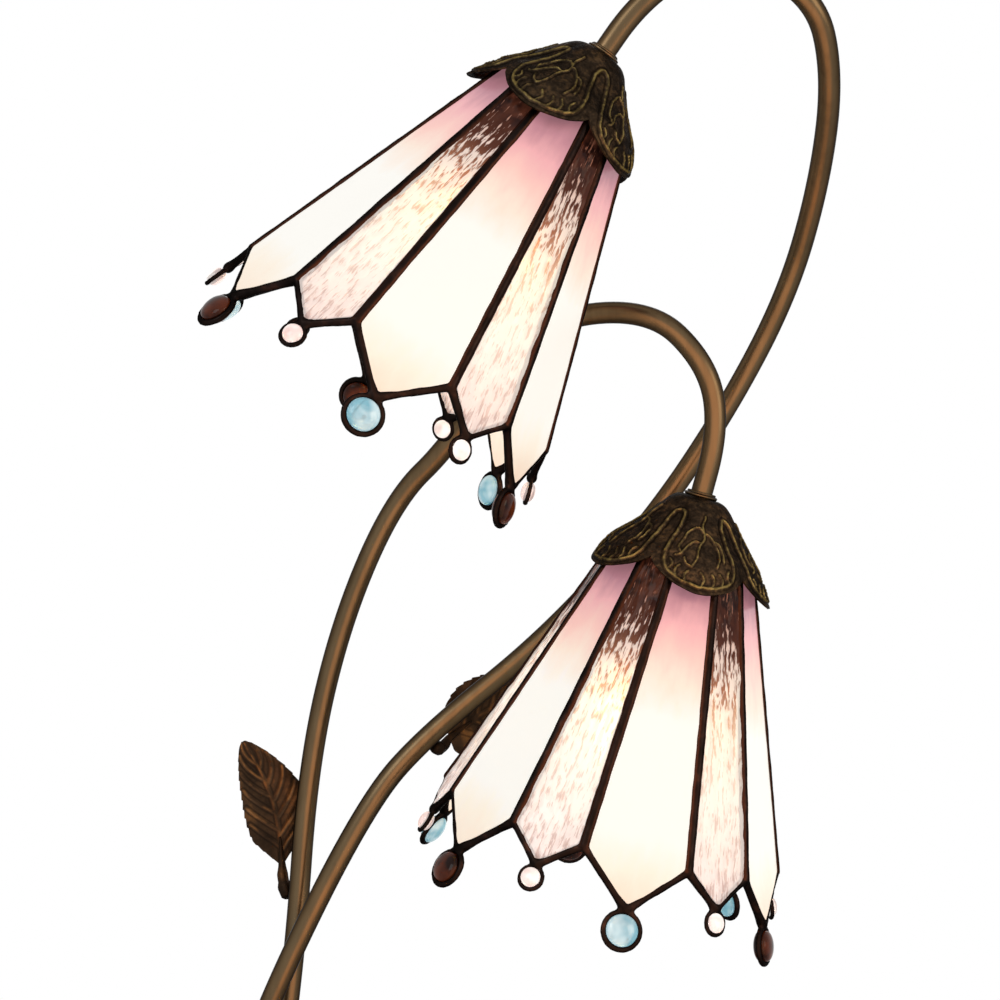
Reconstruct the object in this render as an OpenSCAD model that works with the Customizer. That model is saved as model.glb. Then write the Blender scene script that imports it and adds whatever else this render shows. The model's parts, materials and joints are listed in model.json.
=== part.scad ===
/* [Base] */
// Diameter of the round base
base_d = 180; // [165:1:220]
// Height of the casting, from its foot ring to the top of its boss
casting_h = 36; // [36:1:44]
// Wall of the casting
casting_wall = 5; // [4:0.5:5]
// Thickness of the felt pad under the base
pad_t = 2; // [1:0.5:4]
// Thickness of the steel bottom plate
plate_t = 1.5; // [1:0.5:3]
// Room between the weight ring's top edge and the casting's wall
weight_room = 1.3; // [0.8:0.1:6]
// Diameter of the well in the middle of the weight ring
well_d = 72; // [70:1:80]
// Height of the weight ring
weight_h = 17; // [12:0.5:17]
// Diameter of the leaf cap on the boss
hub_cap_d = 54; // [48:1:64]
// Height of the leaf cap on the boss
hub_cap_h = 12; // [8:1:14]
// Diameter of the hole for the mains lead
cord_hole_d = 7; // [6:0.5:8]

/* [Stems] */
// Outer diameter of the stem tube
tube_d = 10; // [9:0.5:12]
// Wall of the stem tube
tube_wall = 1; // [0.8:0.1:1.5]
// Diameter of the lead inside each stem
lead_d = 4.4; // [3:0.1:5]
// Clearance between a stem and each hole it passes through
tube_gap = 0.15; // [0.1:0.05:0.4]

/* [Leaves] */
// Length of a leaf blade
leaf_l = 60; // [45:1:70]
// Width of a leaf blade
leaf_w = 30; // [20:1:32]
// Thickness of a leaf blade
leaf_t = 1.2; // [0.8:0.1:2]
// Diameter of a leaf stalk
stalk_d = 4.6; // [3:0.2:6]

/* [Flower heads] */
// Tilt of the upper flower from hanging straight down, in degrees
upper_tilt = 34.8; // [20:0.1:40]
// Tilt of the lower flower from hanging straight down, in degrees
lower_tilt = 15.2; // [5:0.1:25]
// Turn of the upper shade about its own axis, in degrees
upper_turn = 5; // [-30:1:30]
// Turn of the lower shade about its own axis, in degrees
lower_turn = 6; // [-30:1:30]
// Turn of the upper calyx about its own axis, in degrees
upper_calyx_turn = -16; // [-36:1:36]
// Turn of the lower calyx about its own axis, in degrees
lower_calyx_turn = 8; // [-36:1:36]

/* [Shade] */
// Depth of the shade's shoulder below the neck
shoulder_s = 146; // [125:1:160]
// Radius of the shade at its shoulder, at the lead lines
shoulder_r = 73; // [62:1:80]
// Depth of the glass's top edge below the neck
glass_top_s = 24; // [24:0.5:27]
// Half the angle that a pink pane spans, in degrees
pink_half = 17.5; // [15:0.5:20]
// Thickness of the glass
glass_t = 3; // [2:0.1:3.6]
// Length of a pink pane's point below its shoulder
pink_tip = 21; // [14:0.5:26]
// Length of a clear pane's point below its shoulder
clear_tip = 13.5; // [9:0.5:16]
// Width of the lead lines between the panes
lead_line_w = 4.4; // [3.8:0.1:6]
// Width of the solder along the rim
rim_line_w = 3.6; // [3.2:0.1:5]
// Diameter of the large cabochons
cabochon_d = 13; // [10:0.5:15]
// Diameter of the small clear beads
bead_d = 8; // [6:0.5:10]
// Wall of the solder ring round a cabochon
ring_wall = 1.35; // [1:0.05:2]

/* [Calyx] */
// Number of lobes
lobes = 5; // [4:1:6]
// Depth of the calyx from the neck to its lobe tips
calyx_l = 38; // [34:1:42]
// How far the lobe tips stand off the shade's seams
calyx_flare = 6.3; // [6:0.1:9]
// Radius at the notches between the lobes
notch_r = 35; // [31:0.5:37]
// Thickness of the calyx wall, measured down its axis
calyx_t = 2; // [1.4:0.1:2.2]

/* [Lampholder] */
// Diameter of the lampholder's skirt, which the shade ring screws on
skirt_d = 28; // [27:0.1:29]
// Length of the skirt below its flange
skirt_l = 36; // [32:1:42]
// Diameter of the bulb's screw cap
bulb_cap_d = 13.9; // [13.8:0.05:14]
// Diameter of the candle bulb
bulb_d = 35; // [30:1:38]
// Length of the glass of the candle bulb
bulb_l = 78; // [65:1:85]

/* [Hidden] */
$fn = 64;
eps = 0.01;          // overreach of a cutter past the face it opens
seat = 0.05;         // clearance between pieces that are laid or glued together
thread_gap = 0.05;   // radial clearance of screwed pieces that turn

bronze = "#6b5238";
dark_bronze = "#3a2a20";
solder = "#3b2a24";
brass = "#b08d4a";

// ---- levels in the base -------------------------------------------------
plate_z = pad_t;
plate_top = plate_z + plate_t;
foot_z = pad_t;
boss_top = foot_z + casting_h;
boss_d = 46;
boss_h = 14;
boss_z = boss_top - boss_h;
foot_h = 4;
cavity_r = base_d / 2 - casting_wall;
weight_z = plate_top + seat;
lug_d = 9;
lug_r = cavity_r - lug_d / 2;
screw_n = 3;
screw_d = 4;
screw_head_d = 7;
screw_l = 10;
cord_boss_d = 18;
cord_z = foot_z + cord_boss_d / 2;
cord_boss_y = base_d / 2 + 0.2;   // flat face that the cord bushing sits on
cord_boss_l = 14;
dome_power = 4;     // how flat the top of the dome is
dome_drop = 6;      // height of the boss above the dome
dome_steps = 12;
// radius of the cavity under the dome at height z
function cavity_at(z) = cavity_r - (base_d - boss_d) / 2
    * (1 - pow(1 - (z + casting_wall - foot_z - foot_h) / (casting_h - foot_h - dome_drop), 1 / dome_power));
weight_d = 2 * (cavity_at(weight_z + weight_h) - weight_room);
bushing_d = 10;
bushing_flange_d = 14;
bushing_flange_t = 2;

// ---- stems --------------------------------------------------------------
tube_r = tube_d / 2;
bore_r = tube_r - tube_wall;
hole_r = tube_r + tube_gap;
nut_t = 4;
nut_flats = tube_d + 4;
washer_t = 1;
washer_d = tube_d + 8;
stem_foot_z = boss_z - washer_t - nut_t - 2;
neck_run = 30;      // straight length of each stem above its neck
neck_end = 10;      // length of each stem's end below its neck, inside the lampholder
tube_sides = 12;
lead_sides = 6;
corner_steps = 5;

lower_neck = [198, -27, 380];
upper_neck = [153.7, -68, 562.6];
lower_foot = [10, 7];
upper_foot = [-10, -7];
// way from a neck back up its stem
function up_axis(tilt) = [sin(tilt), 0, cos(tilt)];
// the corners that each stem is bent round, from its foot to its neck
lower_corners = [[10, 7, 100], [20, 10, 171], [25, 26, 257], [40, 32, 322], [64, 32, 377],
    [90, 22, 402], [126, -4, 456], [176, -22, 462], [201, -27, 437]];
upper_corners = [[-10, -7, 100], [10, -7, 158], [53, -4, 244], [80, 4, 274], [133, 16, 315],
    [180, 20, 367], [214, 20, 418], [240, 14, 469], [250, -16, 516], [251, -48, 557],
    [241, -65, 588], [203, -68, 605]];
lower_run = [each lower_corners, lower_neck + neck_run * up_axis(lower_tilt),
    lower_neck - neck_end * up_axis(lower_tilt)];
upper_run = [each upper_corners, upper_neck + neck_run * up_axis(upper_tilt),
    upper_neck - neck_end * up_axis(upper_tilt)];
lower_route = [[lower_foot[0], lower_foot[1], stem_foot_z], each lower_run];
upper_route = [[upper_foot[0], upper_foot[1], stem_foot_z], each upper_run];

// ---- terminal block and leads -------------------------------------------
block_w = 26;
block_d = 14;
block_h = 11;
block_y = 17;
block_screw_d = 3;
block_screw_x = 6;
lead_z = plate_top + block_h / 2;
function lead_route(side, foot, run, neck, tilt) = [
    [side * block_screw_x, block_y - seat, lead_z],
    [side * block_screw_x, block_y - lead_d - 0.5, lead_z],
    [foot[0], foot[1], lead_z + 0.5],
    [foot[0], foot[1], stem_foot_z + 3],
    each [for (i = [0:len(run) - 2]) run[i]],
    neck - (core_s - seat) * up_axis(tilt)];

// ---- shade: a pyramid of panes whose seams meet in one apex ---------------
panes = 6;
clear_half = 180 / panes - pink_half;
apex_r_at_neck = 19.6;                                  // radius of the seams at the neck
seam_rise = (shoulder_r - apex_r_at_neck) / shoulder_s; // radius gained per length of axis
apex_s = apex_r_at_neck / seam_rise;                    // height of the apex above the neck
seam_angle = atan(seam_rise);
calyx_r = apex_r_at_neck + seam_rise * calyx_l + calyx_flare;   // radius at the lobe tips
function pane_slope(half) = atan(seam_rise * cos(half));
function pane_v(s, half) = (s + apex_s) / cos(pane_slope(half));
function pane_spread(half) = seam_rise * sin(half) * cos(pane_slope(half));
pane_inset = 0.7;     // setback of each pane from the seam's centre
rim_inset = 0.5;      // setback of each pane from the rim's centre line
ring_t = 4;
bead_ring_t = 3;
ring_sink = 1.2;      // how far a solder ring runs into the rim's solder
ring_r = cabochon_d / 2 + ring_wall;
bead_ring_r = bead_d / 2 + ring_wall - 0.2;
pink_drop = pink_tip + rim_line_w / 2 + ring_r - ring_sink;
clear_drop = clear_tip + rim_line_w / 2 + bead_ring_r - ring_sink;

// ---- lampholder, measured down the flower's axis from the neck ------------
neck_ring_h = 2.4;
neck_ring_d = tube_d + 4.4;
calyx_neck_r = nut_flats / 2 / cos(30) + 0.4;
calyx_power = 0.66;
calyx_steps = 8;
notch_round = 30;
calyx_nut_t = 3;
cap_s = calyx_t + calyx_nut_t + 2 * seat;
cap_bore_l = 3;
cap_wall = 1.6;
cap_top_d = 17;
flange_s = 17.4;
flange_t = 2;
flange_d = skirt_d + 7;
collar_s = flange_s + flange_t + seat;
collar_t = 1.5;
collar_rim_l = 8;
ring_s = collar_s + collar_t + seat;
ring_h = 5;
ring_d = skirt_d + 8;
skirt_r = skirt_d / 2;
skirt_wall = 1.4;
skirt_end = flange_s + skirt_l;
core_s = 22;
core_t = 12;
core_r = skirt_r - skirt_wall - seat;
shell_s = core_s + core_t + seat;
shell_wall = 0.5;
shell_r = bulb_cap_d / 2 + thread_gap;
shell_end = skirt_end - 1;
contact_t = 0.8;
bulb_cap_s = shell_s + shell_wall + contact_t + 2.4;
bulb_cap_wall = 0.4;
bulb_s = skirt_end + 1;
bulb_wall = 0.8;
bulb_tail = 6;      // length of the bulb's neck inside its cap
bulb_neck_r = bulb_cap_d / 2 - bulb_cap_wall - seat;
// the top edge of the glass lies outside the collar's rim
collar_r = (glass_top_s + apex_s) * seam_rise * cos(pink_half) - glass_t / 2 / cos(seam_angle) - 1.1;

// ---- curves --------------------------------------------------------------
function unit(v) = v / norm(v);
// one corner of a route, rounded from the middle of one leg to the middle of the next
function bend(a, p, b, n) = [for (k = [0:n]) let (t = k / n)
    (1 - t) * (1 - t) * a + 2 * t * (1 - t) * p + t * t * b];
function rounded(p, n) = let (m = len(p) - 1) [p[0],
    for (i = [1:m - 1]) let (
        a = i == 1 ? (p[0] + p[1]) / 2 : (p[i - 1] + p[i]) / 2,
        b = i == m - 1 ? (p[i] + p[m]) / 2 : (p[i] + p[i + 1]) / 2,
        c = bend(a, p[i], b, n))
    each (i == 1 ? c : [for (k = [1:n]) c[k]]), p[m]];
function heading(p, i) = let (m = len(p) - 1)
    i == 0 ? unit(p[1] - p[0]) : i == m ? unit(p[m] - p[m - 1])
    : unit(unit(p[i + 1] - p[i]) + unit(p[i] - p[i - 1]));
// side directions that are carried along the route without twist
function carried(p, i, u) = i == len(p) ? [] :
    let (d = heading(p, i), v = unit(u - d * (u * d)))
    [[v, cross(d, v)], each carried(p, i + 1, v)];
function loop_at(c, f, r, sides) = [for (k = [0:sides - 1])
    c + r * (f[0] * cos(360 * k / sides) + f[1] * sin(360 * k / sides))];
// faces between two loops of n points that start at a and b
function band(a, b, n) = [for (k = [0:n - 1]) let (j = (k + 1) % n)
    each [[a + k, b + k, b + j], [a + k, b + j, a + j]]];

// a solid bar, or a tube where bore is over 0, swept along the route p
module swept(p, r, sides, bore = 0) {
    f = carried(p, 0, [1, 0, 0]);
    m = len(p) - 1;
    outer = [for (i = [0:m]) each loop_at(p[i], f[i], r, sides)];
    inner = bore > 0 ? [for (i = [0:m]) each loop_at(p[i], f[i], bore, sides)] : [];
    q = len(outer);
    walls = [for (i = [0:m - 1]) each band(i * sides, (i + 1) * sides, sides)];
    inside = [for (i = [0:m - 1]) each band(q + (i + 1) * sides, q + i * sides, sides)];
    ends = bore > 0
        ? [each band(q, 0, sides), each band(m * sides, q + m * sides, sides)]
        : [[for (k = [0:sides - 1]) k], [for (k = [sides - 1:-1:0]) m * sides + k]];
    polyhedron(concat(outer, inner), concat(walls, bore > 0 ? inside : [], ends));
}

// ---- base ------------------------------------------------------------------
module ring(d, h, hole) {
    difference() {
        cylinder(d = d, h = h);
        translate([0, 0, -eps]) cylinder(d = hole, h = h + 2 * eps);
    }
}

module at_screws() {
    for (i = [0:screw_n - 1])
        rotate([0, 0, 30 + i * 360 / screw_n]) translate([lug_r, 0, 0]) children();
}

module at_stems() {
    translate(lower_foot) children();
    translate(upper_foot) children();
}

module base_pad() {
    color("#2c2c2c") difference() {
        cylinder(d = base_d - 4, h = pad_t - seat);
        at_screws() translate([0, 0, -eps]) cylinder(d = screw_head_d + 1, h = pad_t + 2 * eps);
    }
}

module bottom_plate() {
    color("#8a8d90") difference() {
        translate([0, 0, plate_z]) cylinder(r = cavity_r - seat, h = plate_t);
        at_screws() translate([0, 0, plate_z - eps])
            cylinder(d = screw_d + 0.4, h = plate_t + 2 * eps);
    }
}

// flat-headed screws, driven from below through the bottom plate
module plate_screws() {
    head_t = pad_t - 0.4;
    color("#a8abae") at_screws() {
        translate([0, 0, plate_z - seat - head_t]) cylinder(d = screw_head_d, h = head_t);
        translate([0, 0, plate_z - 2 * seat]) cylinder(d = screw_d, h = screw_l);
    }
}

// radius and height of the dome, t from the foot ring to the boss
function dome_at(t) = [base_d / 2 - (base_d - boss_d) / 2 * t,
    foot_z + foot_h + (casting_h - foot_h - dome_drop) * (1 - pow(1 - t, dome_power))];
dome = [for (k = [0:dome_steps]) dome_at(pow(k / dome_steps, 1.6))];

// the dome as a solid, or its cavity where wall is over 0
module dome_solid(wall) {
    low = wall > 0 ? foot_z - 1 : foot_z;
    run = (base_d - boss_d) / 2;
    rotate_extrude($fn = 128) polygon([[0, low], [base_d / 2 - wall, low],
        for (p = dome) let (t = (base_d / 2 - p[0]) / run)
            [p[0] - wall, p[1] - wall * (1 - pow(1 - t, 2 * dome_power))],
        [0, boss_top - dome_drop - wall]]);
}

module base_casting() {
    color(bronze) difference() {
        union() {
            difference() {
                union() {
                    dome_solid(0);
                    translate([0, cord_boss_y - cord_boss_l, cord_z]) rotate([-90, 0, 0])
                        cylinder(d = cord_boss_d - 2 * seat, h = cord_boss_l);
                }
                dome_solid(casting_wall);
            }
            translate([0, 0, boss_z]) cylinder(d = boss_d, h = boss_h);
            at_screws() translate([0, 0, plate_top + seat]) cylinder(d = lug_d, h = screw_l + 1);
        }
        at_stems() translate([0, 0, boss_z - eps]) cylinder(r = hole_r, h = boss_h + 2 * eps);
        at_screws() translate([0, 0, plate_z])
            cylinder(d = screw_d + 2 * thread_gap, h = screw_l + 0.5);
        translate([0, cord_boss_y + eps, cord_z]) rotate([90, 0, 0])
            cylinder(d = bushing_d + 2 * seat, h = cord_boss_l + casting_wall);
    }
}

// iron ring that keeps the lamp upright, slotted for the mains lead
module base_weight() {
    color("#4c4f52") difference() {
        translate([0, 0, weight_z]) ring(weight_d, weight_h, well_d);
        translate([-cord_hole_d, 0, weight_z - eps])
            cube([2 * cord_hole_d, weight_d, weight_h + 2 * eps]);
    }
}

// cast leaf cap that hides the stems' entry
module hub_cap() {
    r = hub_cap_d / 2;
    color(bronze) difference() {
        translate([0, 0, boss_top + seat]) rotate_extrude() polygon([[0, 0], [r, 0],
            [r - 0.5, hub_cap_h * 0.25], [r - 3, hub_cap_h * 0.6], [r - 6, hub_cap_h], [0, hub_cap_h]]);
        at_stems() translate([0, 0, boss_top]) cylinder(r = hole_r, h = hub_cap_h + 1);
    }
}

module cord_bushing() {
    color("#1f1f1f") translate([0, cord_boss_y + seat, cord_z]) rotate([-90, 0, 0]) difference() {
        union() {
            cylinder(d = bushing_flange_d, h = bushing_flange_t);
            translate([0, 0, -cord_boss_l]) cylinder(d = bushing_d, h = cord_boss_l + eps);
        }
        translate([0, 0, -cord_boss_l - eps])
            cylinder(d = cord_hole_d, h = cord_boss_l + bushing_flange_t + 2 * eps);
    }
}

module terminal_block() {
    color("#d9d4c4") difference() {
        translate([-block_w / 2, block_y, plate_top + seat]) cube([block_w, block_d, block_h]);
        for (x = [-block_screw_x, block_screw_x])
            translate([x, block_y + block_d / 2, plate_top + block_h * 0.6])
                cylinder(d = block_screw_d + 2 * seat, h = block_h);
    }
}

module terminal_screws() {
    color(brass) for (x = [-block_screw_x, block_screw_x])
        translate([x, block_y + block_d / 2, plate_top + block_h * 0.6 + seat])
            cylinder(d = block_screw_d, h = block_h * 0.3);
}

module stem_nuts() {
    color(brass) at_stems() translate([0, 0, boss_z - washer_t - nut_t - 2 * seat]) difference() {
        cylinder(r = nut_flats / 2 / cos(30), h = nut_t, $fn = 6);
        translate([0, 0, -eps]) cylinder(r = tube_r + seat, h = nut_t + 2 * eps);
    }
}

module stem_washers() {
    color("#a8abae") at_stems() translate([0, 0, boss_z - washer_t - seat])
        ring(washer_d, washer_t, 2 * hole_r);
}

// ---- stems, leads and leaves -------------------------------------------------
module upper_stem() {
    color(bronze) swept(rounded(upper_route, corner_steps), tube_r, tube_sides, bore_r);
}

module lower_stem() {
    color(bronze) swept(rounded(lower_route, corner_steps), tube_r, tube_sides, bore_r);
}

module upper_lead() {
    color("#ece6d8") swept(rounded(lead_route(-1, upper_foot, upper_run, upper_neck, upper_tilt),
        corner_steps), lead_d / 2, lead_sides);
}

module lower_lead() {
    color("#ece6d8") swept(rounded(lead_route(1, lower_foot, lower_run, lower_neck, lower_tilt),
        corner_steps), lead_d / 2, lead_sides);
}

// a leaf runs from its foot on the stem, by way of its stalk, to the tip of its blade
stalk_rows = 5;
leaf_rows = 12;
leaf_cols = 6;
leaf_cup = 3;       // how far the blade's edges lie behind its midrib
leaf_bow = 1.5;     // how far the middle of the blade comes forward
function leaf_half(t) = leaf_w / 2 * pow(sin(180 * pow(t, 0.85)), 0.8);
// across the top of a row and back across its underside, as angles round the row
leaf_turns = [for (j = [0:2 * leaf_cols + 1]) 180 - (j + 0.5) * 180 / (leaf_cols + 1)];
function stalk_row(p, i, side) = let (
    d = heading(p, i),
    v = unit(side - d * (side * d)),
    w = cross(d, v))
    [for (a = leaf_turns) p[i] + stalk_d / 2 * (v * cos(a) + w * sin(a))];
function blade_row(start, along, side, face, sway, t) = let (h = max(leaf_half(t), leaf_t / 2))
    [for (a = leaf_turns) let (u = -cos(a), arch = sin(180 * t))
    start + along * leaf_l * t + side * (sway * arch - h * u)
    + face * (leaf_t / 2 * sin(a) + (leaf_bow - leaf_cup * u * u) * arch)];

// sway is how far the midrib curves sideways
module leaf(foot, elbow, start, tip, sway) {
    along = unit(tip - start);
    side = unit(cross([0, -1, 0], along));
    face = cross(along, side);
    stalk = rounded([foot, elbow, start], stalk_rows);
    rows = concat(
        [for (i = [0:len(stalk) - 1]) stalk_row(stalk, i, -side)],
        [for (i = [1:leaf_rows]) blade_row(start, along, -side, face, sway,
            0.985 * i / leaf_rows)]);
    n = len(leaf_turns);
    m = len(rows) - 1;
    color(dark_bronze) polyhedron([for (r = rows) each r], concat(
        [for (i = [0:m - 1]) each band(i * n, (i + 1) * n, n)],
        [[for (k = [0:n - 1]) k], [for (k = [n - 1:-1:0]) m * n + k]]));
}

module left_leaf() {
    leaf([16, 19.8, 198], [13.5, 24, 205], [13, 27, 210], [-5.4, 35, 266], 5);
}

module right_leaf() {
    leaf([83.1, 6.6, 267.4], [86, 12, 266], [89, 16, 270], [140, 42, 290], -5);
}

// ---- flower heads ---------------------------------------------------------------
module at_upper() { translate(upper_neck) rotate([0, upper_tilt, 0]) children(); }
module at_lower() { translate(lower_neck) rotate([0, lower_tilt, 0]) children(); }

// a disc or a ring from depth s down the flower's axis
module disc(s, h, d) { translate([0, 0, -s - h]) cylinder(d = d, h = h); }
module hoop(s, h, d, hole) { translate([0, 0, -s - h]) ring(d, h, hole); }

module neck_ring() {
    color(bronze) hoop(-neck_ring_h - seat, neck_ring_h, neck_ring_d, 2 * hole_r);
}

function calyx_at(t) = calyx_neck_r + (calyx_r - calyx_neck_r) * pow(t, calyx_power);

module calyx(turn) {
    run = calyx_l - calyx_t;
    outside = [for (k = [0:calyx_steps]) [calyx_at(k / calyx_steps), -run * k / calyx_steps]];
    inside = [for (k = [calyx_steps:-1:0]) [calyx_at(k / calyx_steps),
        -run * k / calyx_steps - calyx_t]];
    color(dark_bronze) rotate([0, 0, turn - 90]) difference() {
        rotate_extrude() polygon(concat([[hole_r, 0]], outside, inside, [[hole_r, -calyx_t]]));
        for (i = [0:lobes - 1]) rotate([0, 0, (i + 0.5) * 360 / lobes])
            translate([notch_r + notch_round, 0, -calyx_l - 1])
                cylinder(r = notch_round, h = calyx_l + 2);
    }
}

module calyx_nut() {
    color(brass) translate([0, 0, -calyx_t - seat - calyx_nut_t]) difference() {
        cylinder(r = nut_flats / 2 / cos(30), h = calyx_nut_t, $fn = 6);
        translate([0, 0, -eps]) cylinder(r = tube_r + seat, h = calyx_nut_t + 2 * eps);
    }
}

module holder_cap() {
    a = cap_s;
    b = cap_s + cap_bore_l;
    c = (b + flange_s) / 2;
    e = flange_s - seat;
    color("#2b2620") rotate_extrude() polygon([[hole_r, -a], [cap_top_d / 2, -a],
        [flange_d / 2 - 3, -c], [flange_d / 2 - 1, -e], [flange_d / 2 - 1 - cap_wall, -e],
        [flange_d / 2 - 3 - cap_wall, -c - 1], [cap_top_d / 2 - cap_wall, -b], [hole_r, -b]]);
}

module holder_skirt() {
    color("#2b2620") {
        hoop(flange_s, flange_t, flange_d, 2 * core_r + 2 * seat);
        hoop(flange_s, skirt_l, skirt_d, 2 * core_r + 2 * seat);
        // ledge that the core rests on
        hoop(shell_s, 1, skirt_d - skirt_wall, 2 * (shell_r + shell_wall + 2));
    }
}

module holder_core() {
    color("#e8e2d4") hoop(core_s, core_t, 2 * core_r, 2);
}

// screw shell that the bulb's cap turns in
module holder_shell() {
    outer = shell_r + shell_wall;
    color(brass) {
        hoop(shell_s, shell_end - shell_s, 2 * outer, 2 * shell_r);
        hoop(shell_s, shell_wall, 2 * outer + 2, 8);
    }
}

module holder_contact() {
    color(brass) disc(shell_s, contact_t, 6);
}

module shade_ring() {
    color(dark_bronze) difference() {
        hoop(ring_s, ring_h, ring_d, skirt_d + 2 * thread_gap);
        // finger grips round the outside
        for (i = [0:11]) rotate([0, 0, 30 * i]) translate([ring_d / 2 + 0.8, 0, 0])
            disc(ring_s - eps, ring_h + 2 * eps, 3);
    }
}

module shade_collar() {
    color(dark_bronze) {
        hoop(collar_s, collar_t, 2 * collar_r, skirt_d + 2 * tube_gap);
        hoop(collar_s, collar_rim_l, 2 * collar_r, 2 * collar_r - 2.8);
    }
}

// children drawn in the plane of a pane: x across it, y down it from the apex
module on_pane(half, turn) {
    rotate([0, 0, turn]) translate([0, 0, apex_s]) rotate([-90 - pane_slope(half), 0, 0]) children();
}

module at_pink(turn) { for (i = [0:panes - 1]) on_pane(pink_half, turn + i * 360 / panes) children(); }

module at_clear(turn) {
    for (i = [0:panes - 1]) on_pane(clear_half, turn + (i + 0.5) * 360 / panes) children();
}

module pane(half, tip) {
    top = pane_v(glass_top_s, half);
    low = pane_v(shoulder_s, half);
    k = pane_spread(half);
    translate([0, 0, -glass_t / 2]) linear_extrude(glass_t) polygon([
        [-top * k + pane_inset, top], [top * k - pane_inset, top],
        [low * k - pane_inset, low - rim_inset], [0, low + tip - 2 * rim_inset],
        [-low * k + pane_inset, low - rim_inset]]);
}

module pink_panes(turn) { color("#eab7ae") at_pink(turn) pane(pink_half, pink_tip); }
module clear_panes(turn) { color("#f3e6dc") at_clear(turn) pane(clear_half, clear_tip); }

// the two bars along a pane's pointed end, and the ring that hangs from its point
module rim(half, tip, drop, hang_r, hole, t) {
    low = pane_v(shoulder_s, half);
    x = low * pane_spread(half);
    for (side = [-1, 1]) translate([side * x, low, 0])
        rotate([0, 0, atan2(tip, -side * x)]) rotate([0, 90, 0])
            translate([0, 0, -0.4]) cylinder(d = rim_line_w, h = norm([x, tip]) + 0.8, $fn = 8);
    translate([0, low + drop, -t / 2]) ring(2 * hang_r, t, hole);
}

// soldered lead between the panes, round the top and along the rim
module leading(turn) {
    from = (glass_top_s + 1 + apex_s) / cos(seam_angle);
    to = (shoulder_s + apex_s) / cos(seam_angle) + rim_line_w / 3;
    color(solder) difference() {
        union() {
            for (i = [0:panes - 1], side = [-1, 1])
                rotate([0, 0, turn + i * 360 / panes + side * pink_half]) translate([0, 0, apex_s])
                    rotate([180 - seam_angle, 0, 0]) translate([0, 0, from])
                        cylinder(d = lead_line_w, h = to - from, $fn = 8);
            hoop(glass_top_s - 1.6, 3.6, 2 * collar_r + 7.4, 2 * collar_r + 2 * seat);
            at_pink(turn) rim(pink_half, pink_tip, pink_drop, ring_r, cabochon_d + 2 * seat, ring_t);
            at_clear(turn) rim(clear_half, clear_tip, clear_drop, bead_ring_r, bead_d + 2 * seat,
                bead_ring_t);
        }
        at_pink(turn) pane(pink_half, pink_tip);
        at_clear(turn) pane(clear_half, clear_tip);
    }
}

// a round glass stone, domed on both faces
module stone(d, h, edge) {
    rise = (h - edge) / 2;
    r = (d * d / 4 + rise * rise) / (2 * rise);
    intersection() {
        translate([0, 0, r - h / 2]) sphere(r);
        translate([0, 0, h / 2 - r]) sphere(r);
        translate([0, 0, -h]) cylinder(d = d - eps, h = 2 * h);
    }
}

module cabochons(turn, first, tint) {
    color(tint) for (i = [first:2:panes - 1]) on_pane(pink_half, turn + i * 360 / panes)
        translate([0, pane_v(shoulder_s, pink_half) + pink_drop, 0])
            stone(cabochon_d, cabochon_d * 0.6, ring_t * 0.6);
}

module blue_cabochons(turn) { cabochons(turn, 0, "#9fd3e8"); }
module amber_cabochons(turn) { cabochons(turn, 1, "#6b3322"); }

module clear_beads(turn) {
    color("#f2dcd4") at_clear(turn) translate([0, pane_v(shoulder_s, clear_half) + clear_drop, 0])
        stone(bead_d, bead_d * 0.75, bead_ring_t * 0.6);
}

// ---- bulb ------------------------------------------------------------------------
module bulb_cap() {
    r = bulb_cap_d / 2;
    color(brass) {
        hoop(bulb_cap_s, bulb_s - bulb_cap_s, bulb_cap_d, bulb_cap_d - 2 * bulb_cap_wall);
        disc(bulb_cap_s, 1, bulb_cap_d);
        disc(shell_s + contact_t + seat, bulb_cap_s - shell_s - contact_t - seat + eps, 4);
    }
}

// candle shape: share of the bulb's length, share of its largest radius
candle = [[0, 0.4], [0.08, 0.58], [0.2, 0.86], [0.33, 1], [0.45, 1], [0.58, 0.92], [0.72, 0.72],
    [0.85, 0.44], [0.95, 0.2], [1, 0.06]];

module bulb_glass() {
    r = bulb_d / 2;
    color("#fff3cf") rotate_extrude() polygon(concat(
        [[bulb_neck_r, -bulb_s + bulb_tail]],
        [[bulb_neck_r, -bulb_s]],
        [for (p = candle) [p[1] * r, -bulb_s - p[0] * bulb_l]],
        [[0, -bulb_s - bulb_l], [0, -bulb_s - bulb_l + bulb_wall]],
        [for (k = [len(candle) - 1:-1:0])
            [max(0.1, candle[k][1] * r - bulb_wall), -bulb_s - candle[k][0] * (bulb_l - bulb_wall * 2)]],
        [[bulb_neck_r - bulb_wall, -bulb_s + bulb_tail]]));
}

module bulb_filament() {
    from = bulb_s - bulb_tail;
    top = bulb_s + bulb_l * 0.28;
    len_f = bulb_l * 0.42;
    color("#f5e6a8") {
        disc(from, top - from, 4);
        disc(from, 1.2, 2 * (bulb_neck_r - bulb_wall - seat));
        disc(top - 1, 1, 9);
        disc(top + len_f - 1, 1, 9);
        for (i = [0:3]) rotate([0, 0, 90 * i]) translate([3.6, 0, 0]) disc(top - 1, len_f, 1.2);
    }
}

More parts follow.
